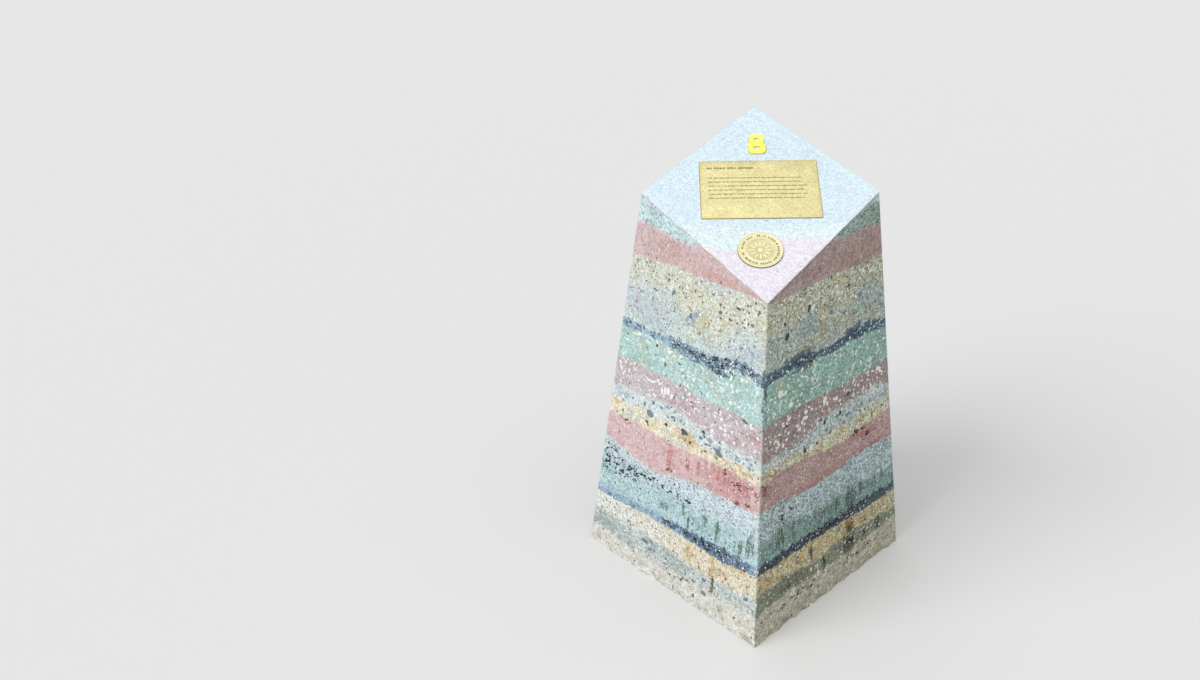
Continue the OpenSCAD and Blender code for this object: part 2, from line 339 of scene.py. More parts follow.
def joint_between(lower, upper):
    """Heights of the joint between two pours, for every column, and on the axis."""
    points = mesh_arrays(frame["nodes"][lower])[0]
    others = mesh_arrays(frame["nodes"][upper])[0]
    tree = kdtree.KDTree(len(others))
    for i, p in enumerate(others):
        tree.insert(p, i)
    tree.balance()
    shared = np.array([p for p in points if tree.find(p)[2] < SAME_PLACE])
    reach = np.hypot(shared[:, 0], shared[:, 1])
    core = shared[reach < MM, 2].mean()
    rim = shared[reach >= MM]
    # Where the cut has taken the joint's rim away, its slope is run on out to the wall
    diagonal = np.abs(rim[:, 0]) + np.abs(rim[:, 1])
    rise = rim[:, 2] - core
    run_on = math.sqrt(2) * half_side(core) / (diagonal + math.sqrt(2) * LEAN * rise)
    heights = core + run_on * rise
    order = np.argsort(np.arctan2(rim[:, 1], rim[:, 0]))
    angles = np.arctan2(rim[order, 1], rim[order, 0])
    return np.interp(BEARINGS, angles, heights[order], period=2 * math.pi), core


def rough_line(seed, depth, length):
    """Small ragged rise and fall of a joint, for every column."""
    out = []
    for x, y, _ in ALL_COLUMNS / (length * MM):
        broad = noise.fractal(Vector((x, y, 7.3 * seed)), 0.8, 2.2, 4)
        out.append(depth * MM * max(-1.0, min(1.0, broad)))
    return np.array(out)


# Heights of all the joints, from the ground to above the cut, with their cores
joints = [(np.zeros(COLUMNS), 0.0)]
for number, (pour, next_pour) in enumerate(zip(POURS, POURS[1:]), 1):
    line, core_height = joint_between(pour.name, next_pour.name)
    line = line + rough_line(number, pour.depth, pour.length)
    joints.append((np.maximum(line, joints[-1][0] + LEAST_POUR), core_height))
# The last joint lies past the cut, so the cap is cast a little too high and then cut
above_all = cad_high.z + 5 * MM
joints.append((np.full(COLUMNS, above_all), above_all))


def joint_height(number, points):
    """Height of a joint below or above points of the skin."""
    bearing = np.arctan2(points[:, 1], points[:, 0])
    order = np.argsort(BEARINGS)
    return np.interp(bearing, BEARINGS[order], joints[number][0][order], period=2 * math.pi)


# Marks on the two faces that are seen, in millimetres: place along the face, height, half
# width, half height, strength. The hidden faces mirror them.
MARKS = {
    ("pitted", LEFT): [
        (-190, 237, 26, 9, 1.0), (-190, 208, 24, 22, 1.0), (-155, 208, 30, 20, 1.0),
        (-120, 212, 30, 15, 1.0), (-80, 221, 34, 11, 1.0), (-40, 220, 32, 8, 1.0),
        (4, 221, 34, 6, 1.0), (44, 222, 26, 4, 1.0), (70, 520, 36, 14, 0.55),
        (8, 526, 30, 10, 0.35), (-40, 524, 26, 8, 0.5), (-150, 520, 20, 6, 0.5),
        (90, 156, 90, 12, 0.7), (-12, 150, 20, 8, 0.7), (110, 318, 8, 14, 0.9),
        (48, 303, 6, 7, 1.0), (-22, 264, 7, 7, 1.0), (-140, 317, 10, 4, 1.0), (150, 278, 8, 5, 0.9),
        (22, 285, 4, 12, 0.8), (172, 284, 6, 5, 0.8), (110, 78, 5, 24, 0.8), (15, 46, 40, 9, 0.7),
        (150, 312, 40, 16, 0.5),
    ],
    ("pitted", RIGHT): [
        (-137, 244, 6, 30, 1.0), (-112, 250, 5, 14, 0.8), (-70, 530, 60, 14, 0.45),
        (60, 530, 60, 10, 0.45), (0, 160, 170, 10, 0.7), (66, 122, 7, 24, 1.0),
        (64, 84, 18, 14, 0.9), (-56, 120, 4, 20, 0.8), (112, 84, 5, 18, 0.8), (-18, 76, 5, 16, 0.8),
        (155, 84, 6, 12, 0.9), (100, 45, 60, 10, 0.8), (-100, 48, 90, 8, 0.7),
        (-186, 325, 10, 10, 1.0), (116, 304, 14, 7, 1.0), (8, 308, 5, 5, 0.9),
        (90, 322, 20, 8, 0.8), (146, 302, 8, 5, 0.9), (104, 344, 8, 5, 0.9), (80, 140, 40, 5, 0.7),
        (112, 108, 5, 10, 0.8),
    ],
    ("algae", LEFT): [
        (24, 197, 12, 24, 0.9), (36, 170, 5, 14, 1.0), (-28, 180, 18, 12, 0.7),
        (109, 196, 7, 34, 0.9), (77, 206, 9, 10, 0.7), (187, 206, 11, 28, 1.0),
        (166, 192, 10, 20, 0.8), (60, 186, 60, 22, 0.45), (150, 188, 50, 26, 0.5),
        (112, 74, 5, 26, 0.7), (0, 90, 90, 6, 0.4),
    ],
    ("algae", RIGHT): [
        (-145, 199, 14, 22, 1.2), (-105, 196, 6, 28, 1.0), (-45, 190, 4, 24, 0.9),
        (23, 193, 11, 20, 1.0), (66, 186, 17, 30, 1.3), (98, 197, 8, 20, 0.9),
        (-20, 190, 120, 20, 0.5), (140, 190, 9, 24, 0.8), (168, 186, 6, 22, 0.9),
        (60, 214, 50, 16, 0.4), (60, 112, 22, 34, 0.8), (62, 78, 20, 20, 1.4),
        (155, 82, 12, 16, 1.0), (-18, 74, 8, 20, 0.9), (112, 84, 8, 22, 0.8),
        (-120, 86, 70, 16, 0.5), (-55, 120, 4, 26, 0.8),
    ],
    ("rust", LEFT): [
        (47, 114, 13, 30, 0.75), (62, 112, 10, 26, 0.5), (110, 110, 7, 40, 0.9),
        (112, 72, 6, 26, 1.0), (138, 115, 9, 13, 0.8), (170, 120, 30, 12, 0.3),
        (20, 566, 56, 30, 0.5), (20, 590, 30, 20, 0.6), (70, 590, 12, 40, 0.6),
        (-4, 548, 10, 10, 0.6), (100, 700, 80, 22, 0.3),
    ],
    ("rust", RIGHT): [
        (-137, 240, 10, 34, 1.0), (-108, 250, 6, 20, 0.6), (60, 116, 22, 30, 1.0),
        (-52, 118, 10, 26, 0.8), (10, 122, 40, 16, 0.45), (120, 112, 24, 20, 0.5),
        (-120, 118, 40, 14, 0.4), (-16, 596, 12, 60, 0.9), (-80, 560, 90, 14, 0.6),
        (60, 566, 110, 20, 0.6), (85, 640, 60, 24, 0.4), (-20, 590, 70, 24, 0.4),
    ],
    # Patches of a pour's second tone
    ("patch", LEFT): [
        (-150, 576, 66, 36, 1.0), (-92, 566, 54, 36, 1.0), (-66, 604, 26, 16, 0.8),
        (-38, 588, 20, 16, 0.6), (-4, 588, 14, 15, 0.6), (130, 570, 46, 30, 0.8),
        (120, 544, 44, 22, 1.0), (66, 520, 34, 16, 1.0), (12, 524, 34, 10, 1.0),
        (-160, 520, 30, 5, 0.9), (110, 156, 110, 22, 1.0), (-6, 148, 16, 8, 0.8),
        (120, 300, 70, 44, 1.0), (-20, 290, 16, 40, 0.6), (20, 352, 42, 17, 0.9),
        (150, 350, 24, 12, 0.8), (-166, 352, 26, 12, 0.5), (40, 676, 60, 22, 0.8),
        (-70, 706, 24, 12, 0.5), (138, 115, 9, 11, 0.6),
    ],
    ("patch", RIGHT): [
        (-130, 590, 34, 26, 0.9), (-80, 590, 40, 22, 1.0), (-60, 612, 18, 18, 0.7),
        (12, 596, 15, 14, 0.8), (40, 584, 30, 12, 0.5), (106, 592, 30, 22, 1.0),
        (150, 590, 34, 22, 0.9), (150, 556, 40, 10, 0.6), (-70, 526, 90, 24, 1.0),
        (80, 530, 90, 20, 0.9), (0, 160, 230, 18, 0.9), (0, 274, 230, 9, 1.0),
        (110, 316, 60, 12, 0.8), (-176, 316, 20, 20, 0.8), (-120, 334, 40, 6, 0.7),
        (-170, 350, 40, 10, 0.8), (-40, 340, 60, 8, 0.5), (-176, 124, 26, 18, 0.6),
        (-84, 130, 24, 14, 0.6), (-8, 130, 24, 12, 0.6), (70, 120, 30, 22, 0.7),
        (150, 122, 40, 16, 0.5),
    ],
    ("reddened", LEFT): [
        (60, 292, 30, 30, 0.35), (130, 306, 50, 34, 0.5), (22, 298, 5, 26, 1.0),
        (-24, 288, 8, 32, 1.0), (48, 302, 6, 18, 0.9), (96, 310, 6, 26, 0.7),
        (112, 316, 8, 20, 1.0), (150, 318, 44, 16, 0.7), (148, 278, 10, 6, 0.9),
        (-40, 290, 4, 26, 0.7), (-34, 411, 16, 10, 0.9), (158, 419, 26, 7, 0.9),
        (126, 398, 12, 10, 0.8), (62, 400, 14, 5, 0.7), (60, 680, 110, 8, 0.2),
    ],
    ("reddened", RIGHT): [
        (104, 312, 30, 16, 0.5), (-184, 318, 9, 18, 0.7), (130, 273, 70, 3, 1.0),
        (-60, 268, 60, 6, 0.6), (-120, 334, 60, 4, 0.6), (-60, 690, 120, 12, 0.5),
        (140, 672, 40, 8, 0.6),
    ],
    # The slate of the upper seam has bled down the front arris and into its neighbours
    ("bled", LEFT): [
        (171, 540, 6, 24, 1.0), (177, 495, 4, 36, 1.0), (183, 455, 3, 24, 0.9),
        (70, 511, 26, 6, 1.0),
    ],
    ("bled", RIGHT): [
        (-173, 525, 6, 26, 1.0), (-180, 480, 3, 50, 0.8), (-66, 519, 24, 7, 1.0),
        (-80, 549, 44, 6, 1.0), (90, 545, 6, 11, 1.1), (66, 543, 26, 6, 0.9), (10, 520, 60, 4, 0.8),
    ],
}
# The lower buff pour turns ochre right of here on the left face, and all over on the right
OCHRE_FROM = 36
# How strongly pitted a place is before it has holes, and before its skin is divided more finely
HOLES_FROM = 0.12
FINER_FROM = 0.15
HOLE_DEPTH = 3 * MM
# The foot was cast rough: it is uneven up to a height, and most at the ground
CAST_HEIGHT = 75 * MM
CAST_DEPTH = 5 * MM


def as_seen(face_number, along):
    """The seen face that each point is on or mirrors, and its place along it in millimetres."""
    hidden = face_number > RIGHT
    return np.where(hidden, 3 - face_number, face_number), np.where(hidden, -along, along) / MM


def marked(kind, face_number, along, height):
    """Strength of one kind of mark at points of the skin."""
    seen, place = as_seen(face_number, along)
    level = height / MM
    total = np.zeros(len(along))
    for face in (LEFT, RIGHT):
        for middle, centre, half_w, half_h, strength in MARKS[kind, face]:
            near = ((place - middle) / half_w) ** 2 + ((level - centre) / half_h) ** 2
            total = np.maximum(total, np.where(seen == face, strength * np.exp(-near), 0))
    return np.clip(total, 0, 1)


def honeycomb(points, along, strength):
    """Depth of the slanting holes between stones where the concrete was badly packed."""
    depth = np.zeros(len(points))
    for i in np.flatnonzero(strength > HOLES_FROM):
        # Holes run where one noise is close to nothing, and a second one leaves some out
        x, y, z = points[i]
        thread = abs(noise.noise(Vector((x, y, 2.0 * z - 0.5 * along[i])) * 120))
        gate = 0.4 + 3.2 * noise.noise(Vector((x, y, z)) * 110 + Vector((4, 1, 8)))
        hole = 0.32 * strength[i] * min(1.0, max(0.0, gate)) - thread
        depth[i] = min(HOLE_DEPTH, max(0.0, hole) * 90 * MM)
    return depth


def rough_cast(points, height):
    """Depth of the uneven surface of the foot, which wasn't ground."""
    depth = np.zeros(len(points))
    for i in np.flatnonzero(height < CAST_HEIGHT):
        low = 1 - height[i] / CAST_HEIGHT
        lumps = noise.fractal(Vector(points[i]) * 38, 0.7, 2.1, 4) + 0.35
        depth[i] = low * min(1.0, max(0.0, lumps)) * CAST_DEPTH
    return depth


# Pours

# A face belongs to the wall where its normal rises or falls less than this
WALL_RISE = 0.4
# Points nearer to the axis than this belong to the middles of the joints
CORE_R = 50 * MM


def upright_tube(name, rows):
    """A closed tube with a column for every place round the marker, and rows up its wall."""
    bpy.ops.mesh.primitive_cylinder_add(
        vertices=COLUMNS, radius=1, depth=1, end_fill_type="TRIFAN"
    )
    piece = bpy.context.object
    piece.name = name
    pick_uprights(piece)
    with edit_mode(piece, "EDGE"):
        bpy.ops.mesh.subdivide(number_cuts=rows - 1)
    return piece


def add_marks(piece, number, cast, holes):
    """Stores what a pour's material needs to know of each point of its skin."""
    points = mesh_arrays(piece)[0]
    face_number, along, height = face_of(points)
    seen, place = as_seen(face_number, along)
    marks = {
        "below": height - joint_height(number, points),
        "above": joint_height(number + 1, points) - height,
        "arris": half_side(height) - ARRIS_R - np.abs(along),
        "brink": (CUT_MIDDLE.dot(OUT_OF_CUT) - points @ np.array(OUT_OF_CUT)) / MM,
        "pit": holes / MM,
        "cast": cast / MM,
        # Painted shade: the right face and the face behind it, turned from the key light, are darkened
        # in their materials
        "damp": seen == RIGHT,
        "ochre": (seen == RIGHT) | (place > OCHRE_FROM),
    }
    for kind in ("algae", "rust", "patch", "reddened", "bled"):
        marks[kind] = marked(kind, face_number, along, height)
    for mark, values in marks.items():
        layer = piece.data.attributes.new(mark, "FLOAT", "POINT")
        layer.data.foreach_set("value", np.asarray(values, np.float32))


def cast_pour(number):
    """One pour as a closed solid between its two joints, with its skin's marks as attributes."""
    pour = POURS[number]
    (low, core_low), (high, core_high) = joints[number], joints[number + 1]
    rows = max(3, round(float((high - low).mean()) / (pour.row * MM)))
    piece = upright_tube("dressed_" + pour.name, rows)
    points = mesh_arrays(piece)[0]
    turn = np.arctan2(points[:, 1], points[:, 0]) + math.pi
    column = np.round(turn / (2 * math.pi / COLUMNS)).astype(int) % COLUMNS
    share = points[:, 2] + 0.5
    axis = np.hypot(points[:, 0], points[:, 1]) < 0.5
    placed = skin_point(column, low[column] + share * (high - low)[column])
    placed[axis] = [(0, 0, core_low if s < 0.5 else core_high) for s in share[axis]]
    piece.data.vertices.foreach_set("co", placed.ravel())
    piece.data.update()

    # The pitted stretches are divided more finely before their holes are pressed in
    _, middles, normals, _ = mesh_arrays(piece)
    wall = np.abs(normals[:, 2]) < WALL_RISE
    pick(piece, "FACE", wall & (marked("pitted", *face_of(middles)) > FINER_FROM))
    with edit_mode(piece):
        bpy.ops.mesh.subdivide(number_cuts=2)
    points = mesh_arrays(piece)[0]
    face_number, along, height = face_of(points)
    axis = np.hypot(points[:, 0], points[:, 1]) < CORE_R
    strength = np.where(axis, 0, marked("pitted", face_number, along, height))
    holes = honeycomb(points, along, strength)
    cast = np.where(axis, 0, rough_cast(points, height))
    points -= np.maximum(holes, cast)[:, None] * FACE_NORMALS[face_number]
    piece.data.vertices.foreach_set("co", points.ravel())
    piece.data.update()
    add_marks(piece, number, cast, holes)
    return piece


def slice_off(piece, point, normal):
    """Cuts away what lies beyond a plane and closes the cut."""
    pick(piece, "FACE")
    with edit_mode(piece):
        bpy.ops.mesh.bisect(plane_co=point, plane_no=normal, use_fill=True, clear_outer=True)


# How far the edges of the cut face have worn back
CUT_WEAR = 0.8 * MM


def worn_flats():
    """Planes of the narrow worn flats along the four edges of the cut face."""
    planes = []
    for face_number in range(4):
        wall = (Vector(FACE_NORMALS[face_number]) + Vector((0, 0, LEAN))).normalized()
        outward = (wall - wall.dot(OUT_OF_CUT) * OUT_OF_CUT).normalized()
        # Distance, out from the middle of the cut face, at which it meets the wall
        gap = Vector(FACE_NORMALS[face_number]) * half_side(0)
        reach = wall.dot(gap - CUT_MIDDLE) / wall.dot(outward)
        edge = CUT_MIDDLE + outward * (reach - CUT_WEAR)
        planes.append((edge, (wall + OUT_OF_CUT).normalized()))
    return planes


dressed = {}
for number, name in enumerate(NAMES):
    piece = cast_pour(number)
    if name in CUT_POURS:
        slice_off(piece, CUT_MIDDLE, OUT_OF_CUT)
        for point, normal in worn_flats():
            slice_off(piece, point, normal)
    dressed[name] = piece


# Pockets for the inlaid pieces

CLEARANCE = 0.6 * MM


def on_cut(node):
    """Middle and size of an inlaid node, as across, uphill and out of the cut face."""
    points = mesh_arrays(frame["nodes"][node])[0] - np.array(CUT_MIDDLE)
    flat = points @ np.array([ACROSS, UPHILL, OUT_OF_CUT]).T
    return (flat.min(0) + flat.max(0)) / 2, flat.max(0) - flat.min(0)


def grown_copy(node, name, grow):
    """A merged copy of a plain solid, with every wall moved out by a distance."""
    piece = frame["nodes"][node].copy()
    piece.data = piece.data.copy()
    piece.name = name
    piece.parent = None
    bpy.context.scene.collection.objects.link(piece)
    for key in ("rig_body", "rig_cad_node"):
        del piece[key]
    pick(piece, "FACE")
    with edit_mode(piece):
        bpy.ops.mesh.remove_doubles(threshold=0.01 * MM)
        bpy.ops.mesh.dissolve_limited(angle_limit=math.radians(1))
        if grow:
            bpy.ops.transform.shrink_fatten(value=grow, use_even_offset=True)
    return piece


def cut_pocket(node, *names):
    """Cuts the pocket for an inlaid piece out of the named pours."""
    cutter = grown_copy(node, "cutter", CLEARANCE)
    for name in names:
        apply_modifier(
            dressed[name], "BOOLEAN", object=cutter, operation="DIFFERENCE", solver="EXACT"
        )
    bpy.data.objects.remove(cutter)


cut_pocket("brass_plate", "cap_pour")
cut_pocket("numeral_eight", "cap_pour")
cut_pocket("medallion", "pale_green_pour", "upper_red_pour")


# Shader writing


def tone(colour, bright=1.0):
    """A colour of 0 to 255 as the linear colour that a shader takes, made brighter or darker."""
    out = []
    for value in colour:
        c = value / 255
        c = c / 12.92 if c <= 0.04045 else ((c + 0.055) / 1.055) ** 2.4
        out.append(min(1.0, c * bright))
    return (*out, 1.0)


class Value:
    """A number on its way through a material. Arithmetic on it adds Math nodes."""

    def __init__(self, recipe, socket):
        self.recipe = recipe
        self.socket = socket

    def also(self, name):
        """Another output of the same node."""
        return Value(self.recipe, self.socket.node.outputs[name])

    def _math(self, operation, first, second):
        return self.recipe.node("ShaderNodeMath", {"operation": operation}, {0: first, 1: second})

    def __add__(self, other):
        return self._math("ADD", self, other)

    def __radd__(self, other):
        return self._math("ADD", other, self)

    def __sub__(self, other):
        return self._math("SUBTRACT", self, other)

    def __rsub__(self, other):
        return self._math("SUBTRACT", other, self)

    def __mul__(self, other):
        return self._math("MULTIPLY", self, other)

    def __rmul__(self, other):
        return self._math("MULTIPLY", other, self)

    def at_least(self, other):
        return self._math("MAXIMUM", self, other)


class Recipe:
    """One material, or the sky, built from its shader outwards."""

    def __init__(self, name, sky=False):
        self.made = (bpy.data.worlds if sky else bpy.data.materials).new(name)
        self.made.use_nodes = True
        self.tree = self.made.node_tree
        self.tree.nodes.clear()
        self.place = self.node("ShaderNodeTexCoord", {}, {}, "Object")

    def node(self, kind, settings, sockets, output=0):
        """Adds a node: its settings first, then the values or links of its sockets."""
        made = self.tree.nodes.new(kind)
        for name, value in settings.items():
            if name == "stops":
                self._stops(made.color_ramp, value)
            else:
                setattr(made, name, value)
        for key, value in sockets.items():
            if isinstance(value, Value):
                self.tree.links.new(value.socket, made.inputs[key])
            else:
                made.inputs[key].default_value = value
        return Value(self, made.outputs[output]) if len(made.outputs) else made

    @staticmethod
    def _stops(ramp, stops):
        ramp.elements.remove(ramp.elements[1])
        ramp.elements[0].position, ramp.elements[0].color = stops[0]
        for position, colour in stops[1:]:
            ramp.elements.new(position).color = colour

    def mark(self, name):
        """One of the marks that the skin carries as an attribute."""
        return self.node("ShaderNodeAttribute", {"attribute_name": name}, {}, "Fac")

    def stretched(self, x, y, z, at=None):
        """Coordinates, stretched along the axes."""
        return self.node(
            "ShaderNodeVectorMath", {"operation": "MULTIPLY"}, {0: at or self.place, 1: (x, y, z)},
            "Vector",
        )

    def warped(self, scale, amount):
        """Object coordinates pushed about by noise, for uneven outlines."""
        push = self.grain(scale, 1).also("Color")
        return self.node(
            "ShaderNodeVectorMath", {"operation": "MULTIPLY_ADD"},
            {0: push, 1: (amount, amount, amount), 2: self.place}, "Vector",
        )

    def grain(self, scale, detail=2.0, roughness=0.55, at=None):
        """Soft noise, as a number round a half."""
        return self.node(
            "ShaderNodeTexNoise", {},
            {"Vector": at or self.place, "Scale": scale, "Detail": detail, "Roughness": roughness},
        )

    def cells(self, scale, at=None, feature="F1"):
        """Packed cells: distance from each cell's middle or edge, and a colour for each cell."""
        return self.node(
            "ShaderNodeTexVoronoi", {"feature": feature}, {"Vector": at or self.place, "Scale": scale},
            "Distance",
        )

    def channel(self, colour, which):
        """One channel of a colour as a number."""
        return self.node("ShaderNodeSeparateColor", {}, {0: colour}, which)

    def own(self, cells, which="Red"):
        """A random number of each cell's own. Each channel gives another one."""
        return self.channel(cells.also("Color"), which)

    def step(self, value, low, high):
        """Smooth step from 0 at low to 1 at high."""
        if low > high:
            return 1 - self.step(value, high, low)
        return self.node(
            "ShaderNodeMapRange", {"interpolation_type": "SMOOTHSTEP"},
            {"Value": value, "From Min": low, "From Max": high},
        )

    def mix(self, share, first, second, blend="MIX"):
        """Mixes two colours."""
        return self.node(
            "ShaderNodeMix", {"data_type": "RGBA", "blend_type": blend},
            {0: share, 6: first, 7: second}, 2,
        )

    def ramp(self, value, stops):
        """Colour from a ramp with stops of place and colour."""
        return self.node("ShaderNodeValToRGB", {"stops": stops}, {0: value}, 0)

    def finish(self, colour, roughness, height=None, depth=0.4 * MM, strength=0.5, **plain):
        """The shader itself. Plain values are set on its own sockets."""
        sockets = {"Base Color": colour, "Roughness": roughness}
        sockets.update({name.replace("_", " "): value for name, value in plain.items()})
        if height is not None:
            sockets["Normal"] = self.node(
                "ShaderNodeBump", {}, {"Height": height, "Distance": depth, "Strength": strength},
                "Normal",
            )
        shader = self.node("ShaderNodeBsdfPrincipled", {}, sockets)
        self.node("ShaderNodeOutputMaterial", {}, {"Surface": shader})
        return self.made


# Concrete

# Colours of the stones, from 0 to 255
STONES = {
    "white": (254, 254, 251),
    "cream": (248, 242, 222),
    "orange": (226, 200, 156),
    "brown": (128, 104, 88),
    "dark_red": (164, 108, 100),
    "black": (40, 43, 46),
    "charcoal": (88, 90, 92),
    "slate": (118, 134, 148),
    "blue_grey": (152, 172, 194),
    "pale_blue": (160, 190, 216),
}
# Painted shade on the floors of the holes
PIT_SHADE = (38, 36, 36)
SLATE_LINE = (70, 90, 108)
# Dark tone in the deep hollows of the foot: partly dirt near the ground, partly painted shade
CAST_DIRT_AND_SHADE = (112, 104, 90)
# Pale tone along the upright arrises: partly wear, partly a painted highlight
ARRIS_WEAR_AND_HIGHLIGHT = (216, 218, 208)
# A darker band just under the edge of the cut, and its darker copy on the faces turned from the key
# light, which is painted shade
UNDER_CUT_TONE = (188, 172, 166)
UNDER_CUT_SHADED_TONE = (112, 98, 96)
# What each stain multiplies the colour under it by
RUSTED = (0.82, 0.62, 0.36, 1)
REDDER = (0.72, 0.4, 0.4, 1)
MOSSY = (0.2, 0.25, 0.17, 1)


def shade_stops(*shades):
    """Stops of a ramp that steps through colours, each a stone's name or its own colour."""
    return [(i / len(shades), tone(STONES.get(c, c))) for i, c in enumerate(shades)]


def ground_grains(r, body, dark, pale, swing=1.0, finer=1.0):
    """The packed sand of a ground face: some grains are darker than the body, some paler."""
    ragged = r.warped(380 * finer, 2.4 * MM / finer)
    coarse = r.own(r.cells(240 * finer, ragged))
    sand = r.own(r.cells(440 * finer))
    dust = r.step(r.grain(420 * finer, 3), 0.35, 0.65)
    bright = r.step(0.4 * coarse + 0.34 * sand + 0.26 * dust, 0.2, 0.8)
    return r.mix(1.0, body, ((dark + pale) * bright - dark) * swing + 1, "MULTIPLY")


def small_chips(r, colour, scale, share, size, shades, at):
    """Chips smaller than the modelled ones: some cells of a pattern show a stone."""
    cells = r.cells(scale, at)
    lucky = r.own(cells, "Green")
    shade = r.ramp(r.own(cells, "Blue"), shades)
    reach = cells + 0.3 * r.own(cells)
    chip = r.step(lucky, 1 - share, 1.02 - share) * r.step(reach, size + 0.12, size * 0.75 + 0.12)
    return r.mix(chip, colour, shade)


WHITES = shade_stops("white", "white", "cream", "white")
DARKS = shade_stops("black", "charcoal", "slate", "brown")
MIXED = shade_stops("white", "cream", "slate", "black", "brown")
REDS = shade_stops("dark_red", "brown")
FLECKS = shade_stops("white", "white", "pale_blue")
